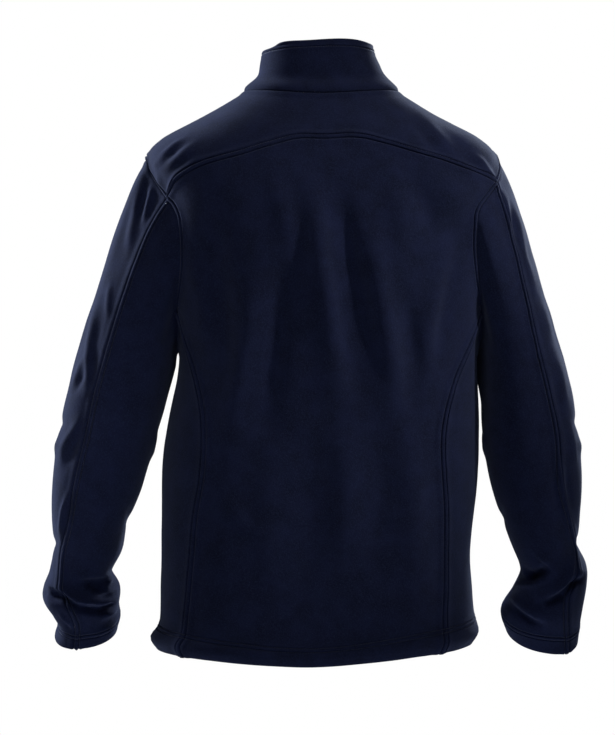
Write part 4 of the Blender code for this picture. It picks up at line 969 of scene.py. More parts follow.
def sew_panel(name, node, grid, outward, seams, creases, lines, turned=False):
    """Shape a panel's outer face from its seams, creases and turned edge, and sew its lines."""
    cloth = bpy.context.scene.jacket_cloth
    base = grid["points"]
    normal = grid_normals(base, outward)
    lift, calm = seam_lift(grid, seams)
    if turned:
        line = grid["top"] - grid["top"][grid["breaks"][-2]]
        lift = lift + (stitched(line) + stitched(line - LINE_APART)) * smoothstep(
            0, LINE_REACH, np.minimum(grid["left"], grid["right"]))
    folds = cloth.creasing * crease_height(base, normal, creases)
    points = base + normal * (lift + calm * (folds + waviness(base)))[..., None]
    normal = grid_normals(points, outward)
    shaped = turn_under(points, normal, grid["breaks"][-2]) if turned else points
    piece = grid_piece(name, shaped)

    def wanted(centre):
        away = np.linalg.norm(points - np.array(centre) / MM, axis=-1)
        return Vector(normal[np.unravel_index(np.argmin(away), away.shape)])

    thicken(piece, cloth.wall, wanted)
    finish_piece(piece, "navy_fleece")
    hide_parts(node)
    sewn = []
    for kind, first, low, high in lines:
        place = (first, slice(low, high)) if kind == "row" else (slice(low, high), first)
        sewn.append((points[place], normal[place]))
    stitches = sew_lines(name.replace("panel", "stitches"), sewn)


# ---------------------------------------------------------------------------------------------
# Panels
# ---------------------------------------------------------------------------------------------
FRONT_CORNER = float(armhole(1, YOKE_FRONT_AT)[1])
WELT_COLUMN = WELT_STOPS.index(WELT)
LINE_ROW = LINE_STOPS.index(LINE_APART)
JOIN, OVERLAP = 0.12, 0.02    # rings over which a seam ends at the armhole, on either side
ABOVE_HEM = (CORNER_RING, HEM_STITCH_RING, BREAK_STOPS, NEAR_LINE_STOPS)
HEM = (HEM_STITCH_RING, HEM_RING, LINE_STOPS, TURNED_STOPS)
BETWEEN_WELTS = ((0.0, 1.0, WELT_STOPS, WELT_STOPS),)
LEFT_WELT, RIGHT_WELT = ("column", WELT_COLUMN, 0, None), ("column", -1 - WELT_COLUMN, 0, None)


def above_corner(ring):
    """1 beside the armhole and 0 beside the long seam under it."""
    return 1 - smoothstep(CORNER_RING - JOIN, CORNER_RING + OVERLAP, ring)


def needle_rows(row):
    """The two lines of stitching along a hem or a cuff."""
    return ("row", row, 0, None), ("row", row + LINE_ROW, 0, None)


def make_back():
    """Centre back: stitched down both long seams and along the hem."""
    grid = cloth_grid(back_place,
                      ((BACK_START, CORNER_RING, PLAIN_STOPS, BREAK_STOPS), ABOVE_HEM, HEM),
                      BETWEEN_WELTS, BODY_STEP)
    beside_arm = above_corner(grid["ring"])
    crossing = CROSSES * (1 - beside_arm)
    _, corner, hem, _ = grid["breaks"]
    sew_panel(
        "back_panel", "back", grid, (0, 1, 0),
        (("top", 0.0, CROSSES), ("left", beside_arm, crossing),
         ("right", beside_arm, crossing)),
        BODY_CREASES,
        (("column", WELT_COLUMN, 0, corner + 1), ("column", -1 - WELT_COLUMN, 0, corner + 1),
         *needle_rows(hem)),
        turned=True)


def make_yoke():
    """Yoke over both shoulders, stitched along its back seam and both armholes."""
    third, blend = 1 / 3, 0.01
    grid = cloth_grid(yoke_place, ((0.0, 1.0, PLAIN_STOPS, WELT_STOPS),),
                      ((0.0, third, WELT_STOPS, BREAK_STOPS),
                       (third, 1 - third, BREAK_STOPS, BREAK_STOPS),
                       (1 - third, 1.0, BREAK_STOPS, WELT_STOPS)), YOKE_STEP)
    in_back = band(grid["share"], 1, (third - blend, third + blend),
                   (1 - third - blend, 1 - third + blend))
    sew_panel(
        "yoke_panel", "yoke", grid, (0, 1, 0),
        (("top", 0.0, 0.0), ("bottom", 1.0, CROSSES * in_back), ("left", 1.0, CROSSES),
         ("right", 1.0, CROSSES)),
        BODY_CREASES, (("row", -1 - WELT_COLUMN, 0, None), LEFT_WELT, RIGHT_WELT))


def make_front(side):
    """A front, with its edge turned in and stitched beside the zip."""
    grid = cloth_grid(partial(front_place, side),
                      ((0.0, FRONT_CORNER, PLAIN_STOPS, BREAK_STOPS),
                       (FRONT_CORNER, CORNER_RING, BREAK_STOPS, BREAK_STOPS), ABOVE_HEM, HEM),
                      BETWEEN_WELTS, BODY_STEP)
    beside_arm = above_corner(grid["ring"]) * smoothstep(
        FRONT_CORNER - OVERLAP, FRONT_CORNER + JOIN, grid["ring"])
    _, yoke, corner, hem, _ = grid["breaks"]
    sew_panel(
        "front_panel_" + SIDE_WORDS[side], "front_" + SIDE_WORDS[side], grid, (0, -1, 0),
        (("top", 0.0, 0.0), ("left", "zip", 0.0),
         ("right", beside_arm, CROSSES * (1 - beside_arm))),
        BODY_CREASES,
        (LEFT_WELT, ("column", -1 - WELT_COLUMN, yoke, corner + 1), *needle_rows(hem)),
        turned=True)


def make_side(side):
    """Side panel, stitched along the armhole, both long seams and the hem."""
    grid = cloth_grid(partial(side_place, side),
                      ((CORNER_RING, HEM_STITCH_RING, WELT_STOPS, NEAR_LINE_STOPS), HEM),
                      BETWEEN_WELTS, BODY_STEP)
    _, hem, _ = grid["breaks"]
    sew_panel(
        "side_panel_" + SIDE_WORDS[side], "side_" + SIDE_WORDS[side], grid, (side, 0, 0),
        (("top", 1.0, 0.0), ("left", 1.0, CROSSES), ("right", 1.0, CROSSES)),
        BODY_CREASES,
        (("row", WELT_COLUMN, 0, None), LEFT_WELT, RIGHT_WELT, *needle_rows(hem)),
        turned=True)


def make_collar():
    """Stand collar, stitched along its turned top and beside the zip."""
    grid = cloth_grid(collar_place,
                      ((0.0, COLLAR_STITCH_RING, PLAIN_STOPS, NEAR_LINE_STOPS),
                       (COLLAR_STITCH_RING, COLLAR_TOP_RING, NEAR_LINE_STOPS[:5],
                        TURNED_STOPS[:2])),
                      BETWEEN_WELTS, COLLAR_STEP)
    _, edge, _ = grid["breaks"]
    sew_panel(
        "collar_panel", "collar", grid, (0, 1, 0),
        (("top", 0.0, 0.0), ("left", "zip", 0.0), ("right", "zip", 0.0)),
        COLLAR_CREASES, (("row", edge, 0, None), LEFT_WELT, RIGHT_WELT),
        turned=True)


def make_sleeve(side):
    """Both pieces of a sleeve: the under one is stitched down the seam at the back."""
    word = SIDE_WORDS[side]
    for part, low, high, outward, welted in (
            ("upper", UNDER_SEAM_AT - 360, YOKE_BACK_AT, (side, 0, 0), False),
            ("under", YOKE_BACK_AT, UNDER_SEAM_AT, (-side, 0, 0), True)):
        grid = cloth_grid(partial(sleeve_place, side, low, high),
                          ((0.0, CUFF_STITCH_RING, PLAIN_STOPS, NEAR_LINE_STOPS),
                           (CUFF_STITCH_RING, CUFF_RING, LINE_STOPS, TURNED_STOPS)),
                          ((0.0, 1.0, WELT_STOPS if welted else PLAIN_STOPS, PLAIN_STOPS),),
                          SLEEVE_STEP)
        _, cuff, _ = grid["breaks"]
        sew_panel(part + "_sleeve_panel_" + word, part + "_sleeve_" + word, grid, outward,
                  (("top", 0.0, 0.0), ("left", float(welted), 1.0), ("right", 0.0, 1.0)),
                  SLEEVE_CREASES[side], needle_rows(cuff) + (LEFT_WELT,) * welted,
                  turned=True)


# ---------------------------------------------------------------------------------------------
# Stitches
# ---------------------------------------------------------------------------------------------
STITCH_LIFT = 0.1             # height of a stitch's middle over the cloth
STITCH_SINK = 0.28            # how far a stitch's ends dive into the cloth
STITCH_TIP = 0.45             # share of its length from its middle to where it dives


def copy_along(piece, origins, axes):
    """Repeat a modelled piece with an Array and set each copy in its own place.  Origins are
    millimetres and axes are rows of unit vectors for the piece's own X, Y and Z."""
    deselect()
    array = piece.modifiers.new("copies", "ARRAY")
    array.count = len(origins)
    array.use_merge_vertices = False
    one = read_points(piece)
    apply_modifier(piece, array)
    write_points(piece, np.einsum("vi,kij->kvj", one, axes) + (origins * MM)[:, None, :])


def one_stitch(name):
    """A short length of thread along X that dives into the cloth at both ends."""
    deselect()
    bpy.ops.mesh.primitive_uv_sphere_add(segments=6, ring_count=5, radius=1.0,
                                         rotation=(0, math.pi / 2, 0))
    piece = named(name)
    sewing = bpy.context.scene.jacket_sewing
    piece.scale = (sewing.height / 2, sewing.width / 2, sewing.length / 2)
    bpy.ops.object.transform_apply(location=False, rotation=True, scale=True)
    for vertex in piece.data.vertices:
        if abs(vertex.co.x) > sewing.length * STITCH_TIP:
            vertex.co.z -= STITCH_SINK * MM
    piece.data.shade_smooth()
    return piece


def sew_lines(name, lines):
    """Stitches along the lines of one panel, as one piece that goes with it."""
    pitch = bpy.context.scene.jacket_sewing.pitch / MM
    origins, axes = [], []
    for points, normal in lines:
        run = arc(points, 0)
        count = int(run[-1] / pitch)
        start = (run[-1] - count * pitch) / 2
        middle = start + (np.arange(count) + 0.5) * pitch
        out = unit(along_line(middle, run, normal))
        ahead = square_to(along_line(middle + 1, run, points)
                          - along_line(middle - 1, run, points), out)
        origins.append(along_line(middle, run, points) + out * STITCH_LIFT)
        axes.append(np.stack([ahead, np.cross(out, ahead), out], axis=1))
    piece = one_stitch(name)
    copy_along(piece, np.concatenate(origins), np.concatenate(axes))
    finish_piece(piece, "navy_thread")
    return piece


# ---------------------------------------------------------------------------------------------
# Zip
# ---------------------------------------------------------------------------------------------
COLLAR_TAPE_DEPTH, BODY_TAPE_DEPTH = 3.3, 2.9
TAPE_OFFSETS = (1.6, 2.2, 3.4, 5.0, 7.5, 10.5, 13.5, 15.5)
TAPE_LIFT = (0.9, 0.8, 0.1, 0.0, 0.0, 0.0, 0.0, 0.0)
TAPE_TOP_RING, TAPE_BOTTOM_RING = 5.85, 15.85
SLIDER_RING, STOP_RING, BOX_RING = 4.45, 5.45, 15.5
TAPE_SIZE, TAPE_STEP = (14.5, 720.0), 4.0
COLLAR_SAMPLES, BODY_SAMPLES = 200, 900
SLIDER_LENGTH, SLIDER_WIDTH, SLIDER_FRONT = 13.0, 6.4, 1.6
SLIDER_TAPER, TAPER_FROM = 0.16, 0.35     # narrowing to the low end, and where it begins
BRIDGE_RADIUS, BRIDGE_WIRE, BRIDGE_FLAT, BRIDGE_BROAD = 4.9, 0.75, 0.86, 1.9
FLANGE = 0.7
BOX_LENGTH = 9.0
PULL_WIDTH, PULL_THICKNESS = 9.0, 1.6
PULL_TAPER, PULL_TAPER_FROM = 0.12, 0.3
PULL_AXIS = (0.0, -3.1, -3.0)     # in the slider's frame
PANEL_SINK = 0.3                  # depth of the pull's sunken panels
CUT_EDGE_ANGLE = 35               # least angle at which the pull's edges stay crisp
TOOTH_FRONT, TOOTH_REAR = 0.45, 2.75
TOOTH_LENGTH, TOOTH_HEIGHT = 3.3, 1.75
SLIDER_TO_TEETH, BOX_TO_TEETH = 0.8, 1.6


def zip_line(step):
    """Points down the middle of the zip with unit directions: to the left side, out of the
    jacket and up, and the depth of the tape, from the top of the tape to its end."""
    number = np.concatenate([np.linspace(TAPE_TOP_RING, 0, COLLAR_SAMPLES)[:-1],
                             np.linspace(0, TAPE_BOTTOM_RING, BODY_SAMPLES)])
    on_collar = np.arange(len(number)) < COLLAR_SAMPLES - 1
    points = np.where(on_collar[:, None], collar_surface(-90.0, number),
                      body_surface(-90.0, number))
    points[:, 0] = np.where(on_collar, smooth(COLLAR["centre_x"], number),
                            smooth(BODY["centre_x"], number)) * (1 - FRONT_STRAIGHT)
    run = arc(points, 0)
    at = np.arange(0, run[-1], step)
    place = along_line(at, run, points)
    up = unit(along_line(at - 3, run, points) - along_line(at + 3, run, points))
    across = unit(np.array([1.0, 0, 0]) - up * up[:, :1])
    out = np.cross(across, up)
    out = out * np.sign(-out[:, 1:2])
    depth = np.interp(at, run, np.where(on_collar, COLLAR_TAPE_DEPTH, BODY_TAPE_DEPTH))
    return place, across, out, up, depth


def zip_run_of(place, number):
    """Distance from the top of the tape to a ring of the collar or the body."""
    upper = np.linspace(TAPE_TOP_RING, number if place == "collar" else 0, 300)
    run = arc(collar_surface(-90.0, upper), 0)[-1]
    if place == "body":
        run += arc(body_surface(-90.0, np.linspace(0, number, BODY_SAMPLES)), 0)[-1]
    return run


def zip_axes(place, number):
    """Origin and axes (X to the left, Y into the jacket, Z up) at a ring of the zip."""
    points, across, out, up, _ = zip_line(1.0)
    index = int(round(zip_run_of(place, number)))
    return points[index], np.stack([across[index], -out[index], up[index]])


def make_tape(side):
    """Woven tape with a thickened edge for the teeth."""
    points, across, out, _, depth = zip_line(TAPE_STEP)
    offsets, lift = np.array(TAPE_OFFSETS), np.array(TAPE_LIFT)
    outer = (points[:, None, :] + across[:, None, :] * (side * offsets)[None, :, None]
             - out[:, None, :] * (depth[:, None] - lift[None, :])[..., None])
    piece = grid_piece("woven_tape_" + SIDE_WORDS[side], outer)
    thicken(piece, bpy.context.scene.jacket_zip.tape_wall, lambda _: Vector((0, -1, 0)))
    finish_piece(piece, "woven_tape")
    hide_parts("zip_tape_" + SIDE_WORDS[side])


def rounded_block(name, low, high, rounding, segments=3):
    """A cube primitive set between two corners in millimetres, with its edges rounded."""
    deselect()
    low, high = np.array(low, float), np.array(high, float)
    bpy.ops.mesh.primitive_cube_add(size=1.0)
    piece = named(name)
    piece.location = Vector((low + high) / 2 * MM)
    piece.scale = Vector((high - low) * MM)
    bpy.ops.object.transform_apply(location=True, rotation=False, scale=True)
    edge = piece.modifiers.new("rounding", "BEVEL")
    edge.width = rounding * MM
    edge.segments = segments
    apply_modifier(piece, edge)
    piece.data.shade_smooth()
    return piece


def set_down(piece, origin, axes):
    """Set a piece that was modelled in a frame of its own in its place."""
    write_points(piece, read_points(piece) @ axes + origin * MM)


def fused(name, *parts):
    """Join pieces that are one casting or one moulding."""
    deselect()
    for part in parts:
        part.select_set(True)
    bpy.context.view_layer.objects.active = parts[0]
    bpy.ops.object.join()
    return named(name)


def make_teeth(side):
    """Moulded teeth of one side: a foot on the tape's edge and a head past the middle."""
    half = TOOTH_HEIGHT / 2
    head = rounded_block("head", (-0.9, TOOTH_FRONT, -half), (1.0, TOOTH_REAR, half), 0.45, 2)
    foot = rounded_block("foot", (0.6, TOOTH_FRONT + 0.15, -half + 0.2),
                         (TOOTH_LENGTH - 0.6, TOOTH_REAR + 0.35, half - 0.2), 0.4, 2)
    teeth = fused("zip_teeth_" + SIDE_WORDS[side], head, foot)
    top = zip_run_of("collar", SLIDER_RING) + SLIDER_LENGTH / 2 + SLIDER_TO_TEETH
    bottom = zip_run_of("body", BOX_RING) - BOX_LENGTH / 2 - BOX_TO_TEETH
    pitch = bpy.context.scene.jacket_zip.pitch / MM
    points, across, out, up, _ = zip_line(pitch / 2)
    index = np.arange(len(points))
    run = index * pitch / 2
    keep = (run > top) & (run < bottom) & (index % 2 == (0 if side > 0 else 1))
    copy_along(teeth, points[keep], np.stack([across * side, -out, up], axis=1)[keep])
    if side < 0:
        teeth.data.flip_normals()
    finish_piece(teeth, "moulded_teeth")
    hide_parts("zip_chain")


def narrow(piece, top, length, share, start):
    """Taper a piece towards its low end, from a share of its length on."""
    for vertex in piece.data.vertices:
        down = (top * MM - vertex.co.z) / (length * MM)
        vertex.co.x *= 1 - share * max(down - start, 0) / (1 - start)


def make_slider():
    """Slider: two plates on a post, with side flanges and a bridge for the pull."""
    half, wide = SLIDER_LENGTH / 2, SLIDER_WIDTH / 2
    front = rounded_block("front_plate", (-wide, -SLIDER_FRONT, -half), (wide, -0.2, half), 0.6)
    rear = rounded_block("rear_plate", (-wide, 4.9, -half), (wide, 6.1, half), 0.5)
    for plate in (front, rear):
        narrow(plate, half, SLIDER_LENGTH, SLIDER_TAPER, TAPER_FROM)
    post = rounded_block("post", (-1.2, -0.6, 0.5), (1.2, 5.2, half - 0.5), 0.3)
    deselect()
    bpy.ops.mesh.primitive_torus_add(major_segments=40, minor_segments=12,
                                     major_radius=BRIDGE_RADIUS * MM,
                                     minor_radius=BRIDGE_WIRE * MM,
                                     rotation=(0, math.pi / 2, 0),
                                     location=(0, (-SLIDER_FRONT + 0.1) * MM, 0))
    bridge = named("bridge")
    bridge.scale = (1.0, BRIDGE_FLAT, 1.0)
    bpy.ops.object.transform_apply(location=True, rotation=True, scale=True)
    write_points(bridge, read_points(bridge) * (BRIDGE_BROAD, 1, 1))
    bpy.ops.object.mode_set(mode="EDIT")
    bpy.ops.mesh.select_all(action="SELECT")
    bpy.ops.mesh.bisect(plane_co=(0, -0.6 * MM, 0), plane_no=(0, 1, 0), use_fill=True,
                        clear_outer=True)
    bpy.ops.object.mode_set(mode="OBJECT")
    bridge.data.shade_smooth()
    flanges = [rounded_block("flange", (low, -0.5, 1.2 - half), (high, 0.6, half - 2.5), 0.25)
               for low, high in ((wide - FLANGE, wide), (-wide, FLANGE - wide))]
    slider = fused("cast_slider", front, rear, post, bridge, *flanges)
    set_down(slider, *zip_axes("collar", SLIDER_RING))
    finish_piece(slider, "enamelled_metal")
    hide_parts("zip_slider")


def make_pull():
    """Pull tab: a rounded plate with a window over the bridge and a panel sunk in each face."""
    half, thick = PULL_WIDTH / 2, PULL_THICKNESS / 2
    long = bpy.context.scene.jacket_zip.pull_length / MM
    tab = rounded_block("pull_tab_plate", (-half, -thick, -long), (half, thick, 0.85), 0.35)
    window = rounded_block("window", (-2.3, -3, -7.5), (2.3, 3, -0.85), 0.6)
    sunk = thick - PANEL_SINK
    panels = [rounded_block("panel", (-2.9, low, 2.6 - long), (2.9, high, -9.8), 0.5)
              for low, high in ((sunk, sunk + 1.2), (-sunk - 1.2, -sunk))]
    for cutter in (window, *panels):
        cut = tab.modifiers.new("cut", "BOOLEAN")
        cut.operation = "DIFFERENCE"
        cut.object = cutter
        apply_modifier(tab, cut)
        bpy.data.objects.remove(cutter, do_unlink=True)
    narrow(tab, 0.0, long, PULL_TAPER, PULL_TAPER_FROM)
    tab.data.shade_smooth()
    tab.data.set_sharp_from_angle(angle=math.radians(CUT_EDGE_ANGLE))
    origin, axes = zip_axes("collar", SLIDER_RING)
    set_down(tab, origin + np.array(PULL_AXIS) @ axes, np.eye(3))
    finish_piece(tab, "enamelled_metal", PULL_TAB)
    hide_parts("zip_pull")


def make_zip_ends():
    """Top stops over the teeth, and the box with its pin at the hem."""
    for side, word in SIDE_WORDS.items():
        near, far = sorted((side * 0.4, side * 2.6))
        stop = rounded_block("top_stop_" + word, (near, 0.5, -2.2), (far, 2.6, 2.2), 0.6)
        set_down(stop, *zip_axes("collar", STOP_RING))
        finish_piece(stop, "enamelled_metal")
        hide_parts("zip_top_stop_" + word)
    half = BOX_LENGTH / 2
    box = rounded_block("insertion_box", (-3.2, -0.2, -half), (3.2, 2.6, half - 2.4), 0.6)
    pin = rounded_block("insertion_pin", (-2.6, 0.5, 4.0 - half), (-0.5, 2.4, half), 0.5)
    guide = rounded_block("guide", (0.5, 0.5, 4.0 - half), (2.6, 2.4, half), 0.5)
    ends = fused("zip_end_box", box, pin, guide)
    set_down(ends, *zip_axes("body", BOX_RING))
    finish_piece(ends, "moulded_teeth")
    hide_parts("zip_box")


# ---------------------------------------------------------------------------------------------
# Materials.  A noise's scale is 1000 over the size of its grain in millimetres, and a wave's is
# 314 over the distance from thread to thread.
# ---------------------------------------------------------------------------------------------
CLOUD_SCALE = 42.0            # patches of nap 24 mm wide, brushed one way or the other
PILE_SCALE = 620.0            # clumps of pile 1.6 mm wide
FIBRE_SCALE = 2300.0          # fibres 0.4 mm apart, coarser than real ones so that they show
TWIST_SCALE = 1800.0          # twist of the thread, every 0.55 mm
WARP_SCALE, WEFT_SCALE = 420.0, 520.0     # tape threads 0.75 and 0.6 mm apart
MOULD_SCALE = 900.0           # grain of 1.1 mm, coarser than a mould's so that it shows
WEAR_SCALE = 260.0            # worn patches 4 mm wide
PAPER_SCALE = 60.0            # mottling 17 mm wide
PAPER_SHOWN = 0.8             # share of the floor's colour that shows where no light reaches


def add_node(tree, kind, settings=None, links=None):
    """Add a node, set its properties or sockets, and link outputs into its inputs."""
    node = tree.nodes.new(kind)
    for key, value in (settings or {}).items():
        if isinstance(key, str) and hasattr(node, key):
            setattr(node, key, value)
        else:
            node.inputs[key].default_value = value
    for key, output in (links or {}).items():
        tree.links.new(output, node.inputs[key])
    return node


def material(finish):
    """The material of a finish, made the first time that a piece asks for it."""
    if finish in bpy.data.materials:
        return bpy.data.materials[finish]
    made = bpy.data.materials.new(finish)
    made.use_nodes = True
    tree = made.node_tree
    tree.nodes.clear()
    place = add_node(tree, "ShaderNodeTexCoord").outputs["Object"]
    surface = FINISHES[finish](tree, place)
    add_node(tree, "ShaderNodeOutputMaterial", {}, {"Surface": surface})
    return made


def fleece(tree, place):
    """Brushed polyester fleece: its pile scatters the light, so it looks matt, soft and
    uneven, with a faint pale edge of nap and a painted highlight on the tops of its clumps."""
    cloth = bpy.context.scene.jacket_cloth
    cloud = add_node(tree, "ShaderNodeTexNoise",
                     {"Scale": CLOUD_SCALE, "Detail": 3.0, "Roughness": 0.6},
                     {"Vector": place})
    pile = add_node(tree, "ShaderNodeTexNoise",
                    {"Scale": PILE_SCALE, "Detail": 2.0, "Roughness": 0.7}, {"Vector": place})
    fibre = add_node(tree, "ShaderNodeTexNoise", {"Scale": FIBRE_SCALE, "Detail": 1.0},
                     {"Vector": place})
    tone = add_node(tree, "ShaderNodeMapRange", {"From Min": 0.35, "From Max": 0.68},
                    {"Value": cloud.outputs["Fac"]})
    colour = add_node(tree, "ShaderNodeMix", {"data_type": "RGBA", 6: cloth.dark, 7: cloth.light},
                      {0: tone.outputs["Result"]})
    # Painted highlight: the colour turns lighter where the pile noise, which also raises the
    # clumps in the bump, is high.
    lit_clumps = add_node(tree, "ShaderNodeMapRange", {"From Min": 0.45, "From Max": 0.75},
                       {"Value": pile.outputs["Fac"]})
    lit = add_node(tree, "ShaderNodeMix", {"data_type": "RGBA", 7: cloth.tip_highlight},
                   {0: lit_clumps.outputs["Result"], 6: colour.outputs[2]})
    clumps = add_node(tree, "ShaderNodeBump", {"Strength": 0.4, "Distance": 0.9 * MM},
                      {"Height": pile.outputs["Fac"]})
    fuzz = add_node(tree, "ShaderNodeBump", {"Strength": 0.35, "Distance": 0.3 * MM},
                    {"Height": fibre.outputs["Fac"], "Normal": clumps.outputs["Normal"]})
    shader = add_node(tree, "ShaderNodeBsdfPrincipled",
                      {"Roughness": 0.95, "Specular IOR Level": 0.12, "Sheen Weight": 0.14,
                       "Sheen Roughness": 0.55, "Sheen Tint": cloth.halo},
                      {"Base Color": lit.outputs[2], "Normal": fuzz.outputs["Normal"]})
    return shader.outputs["BSDF"]


def thread(tree, place):
    """Spun polyester thread: its twist breaks a weak shine, a little brighter than fleece."""
    twist = add_node(tree, "ShaderNodeTexNoise", {"Scale": TWIST_SCALE, "Detail": 1.0},
                     {"Vector": place})
    rough = add_node(tree, "ShaderNodeMapRange", {"To Min": 0.45, "To Max": 0.7},
                     {"Value": twist.outputs["Fac"]})
    ridges = add_node(tree, "ShaderNodeBump", {"Strength": 0.4, "Distance": 0.2 * MM},
                      {"Height": twist.outputs["Fac"]})
    shader = add_node(tree, "ShaderNodeBsdfPrincipled",
                      {"Base Color": bpy.context.scene.jacket_sewing.thread,
                       "Sheen Weight": 0.3},
                      {"Roughness": rough.outputs["Result"],
                       "Normal": ridges.outputs["Normal"]})
    return shader.outputs["BSDF"]


def woven_tape(tree, place):
    """Woven polyester tape: threads both ways give it a fine grid, with painted shade darkening
    the hollows between them, and no shine.
    """
    zipper = bpy.context.scene.jacket_zip
    warp = add_node(tree, "ShaderNodeTexWave", {"Scale": WARP_SCALE, "Distortion": 0.4,
                                                "bands_direction": "X"}, {"Vector": place})
    weft = add_node(tree, "ShaderNodeTexWave", {"Scale": WEFT_SCALE, "Distortion": 0.4,
                                                "bands_direction": "Z"}, {"Vector": place})
    # Painted shade: the colour is darker where the weave is low, between the threads, the same
    # pattern that raises the threads in the bump.
    weave = add_node(tree, "ShaderNodeMath", {"operation": "MULTIPLY"},
                     {0: warp.outputs["Fac"], 1: weft.outputs["Fac"]})
    colour = add_node(tree, "ShaderNodeMix",
                      {"data_type": "RGBA", 6: zipper.hollow_shade, 7: zipper.tape_high},
                      {0: weave.outputs[0]})
    raised = add_node(tree, "ShaderNodeBump", {"Strength": 0.5, "Distance": 0.3 * MM},
                      {"Height": weave.outputs[0]})
    shader = add_node(tree, "ShaderNodeBsdfPrincipled", {"Roughness": 0.8},
                      {"Base Color": colour.outputs[2], "Normal": raised.outputs["Normal"]})
    return shader.outputs["BSDF"]


def moulded(tree, place):
    """Moulded acetal: smooth and slightly waxy, with the mould's faint grain."""
    grain = add_node(tree, "ShaderNodeTexNoise", {"Scale": MOULD_SCALE, "Detail": 2.0},
                     {"Vector": place})
    rough = add_node(tree, "ShaderNodeMapRange", {"To Min": 0.28, "To Max": 0.5},
                     {"Value": grain.outputs["Fac"]})
    skin = add_node(tree, "ShaderNodeBump", {"Strength": 0.15, "Distance": 0.1 * MM},
                    {"Height": grain.outputs["Fac"]})
    shader = add_node(tree, "ShaderNodeBsdfPrincipled",
                      {"Base Color": bpy.context.scene.jacket_zip.teeth},
                      {"Roughness": rough.outputs["Result"], "Normal": skin.outputs["Normal"]})
    return shader.outputs["BSDF"]


def enamelled(tree, place):
    """Enamelled zinc casting: a dark glossy coat, worn to the metal in specks."""
    zipper = bpy.context.scene.jacket_zip
    wear = add_node(tree, "ShaderNodeTexNoise",
                    {"Scale": WEAR_SCALE, "Detail": 5.0, "Roughness": 0.7}, {"Vector": place})
    worn = add_node(tree, "ShaderNodeMapRange", {"From Min": 0.66, "From Max": 0.74},
                    {"Value": wear.outputs["Fac"]})
    colour = add_node(tree, "ShaderNodeMix",
                      {"data_type": "RGBA", 6: zipper.enamel, 7: zipper.bare},
                      {0: worn.outputs["Result"]})
    rough = add_node(tree, "ShaderNodeMapRange", {"To Min": 0.25, "To Max": 0.42},
                     {"Value": wear.outputs["Fac"]})
    shader = add_node(tree, "ShaderNodeBsdfPrincipled", {"Metallic": 0.6},
                      {"Base Color": colour.outputs[2], "Roughness": rough.outputs["Result"]})
    return shader.outputs["BSDF"]


def pale_paper(tree, place):
    """Matt background paper: no shine, and kept pale to the camera where no light reaches."""
    colour = bpy.context.scene.jacket_stage.ground
    grain = add_node(tree, "ShaderNodeTexNoise", {"Scale": PAPER_SCALE}, {"Vector": place})
    rough = add_node(tree, "ShaderNodeMapRange", {"To Min": 0.7, "To Max": 0.9},
                     {"Value": grain.outputs["Fac"]})
    paper = add_node(tree, "ShaderNodeBsdfPrincipled", {"Base Color": colour},
                     {"Roughness": rough.outputs["Result"]})
    pale = add_node(tree, "ShaderNodeEmission", {"Color": colour, "Strength": 1.0})
    ray = add_node(tree, "ShaderNodeLightPath")
    share = add_node(tree, "ShaderNodeMath", {"operation": "MULTIPLY", 1: PAPER_SHOWN},
                     {0: ray.outputs["Is Camera Ray"]})
    both = add_node(tree, "ShaderNodeMixShader", {},
                    {0: share.outputs[0], 1: paper.outputs[0], 2: pale.outputs[0]})
    return both.outputs[0]


FINISHES = {"navy_fleece": fleece, "navy_thread": thread, "woven_tape": woven_tape,
            "moulded_teeth": moulded, "enamelled_metal": enamelled, "pale_floor": pale_paper}


# ---------------------------------------------------------------------------------------------
# Stage
# ---------------------------------------------------------------------------------------------
LIGHTS = (
    # name, kind, place, aims at, size (m) or cone (degrees), power (W), colour
    ("overhead", "AREA", (0.1, 0.9, 0.9), (0.0, 0.1, -0.12), 0.5, 4.4, "#ffffff"),
    ("key", "SPOT", (-2.5, 1.0, 1.1), (0.02, 0.1, -0.33), 15.5, 190.0, "#ffffff"),
    ("fill", "SPOT", (-0.9, 2.6, -0.2), (0.39, 0.0, -0.42), 9.5, 70.0, "#ffffff"),
    ("rim_left", "AREA", (1.7, -0.85, 0.5), (0.3, 0.0, -0.3), 0.5, 64.0, "#e4eeff"),
    ("rim_right", "AREA", (-1.2, -1.75, 0.7), (-0.2, 0.0, -0.2), 0.6, 66.0, "#e4eeff"),
)
LAMP_RADIUS = 0.12
FLOOR_RADIUS, FLOOR_Z = 3.4, -1.45


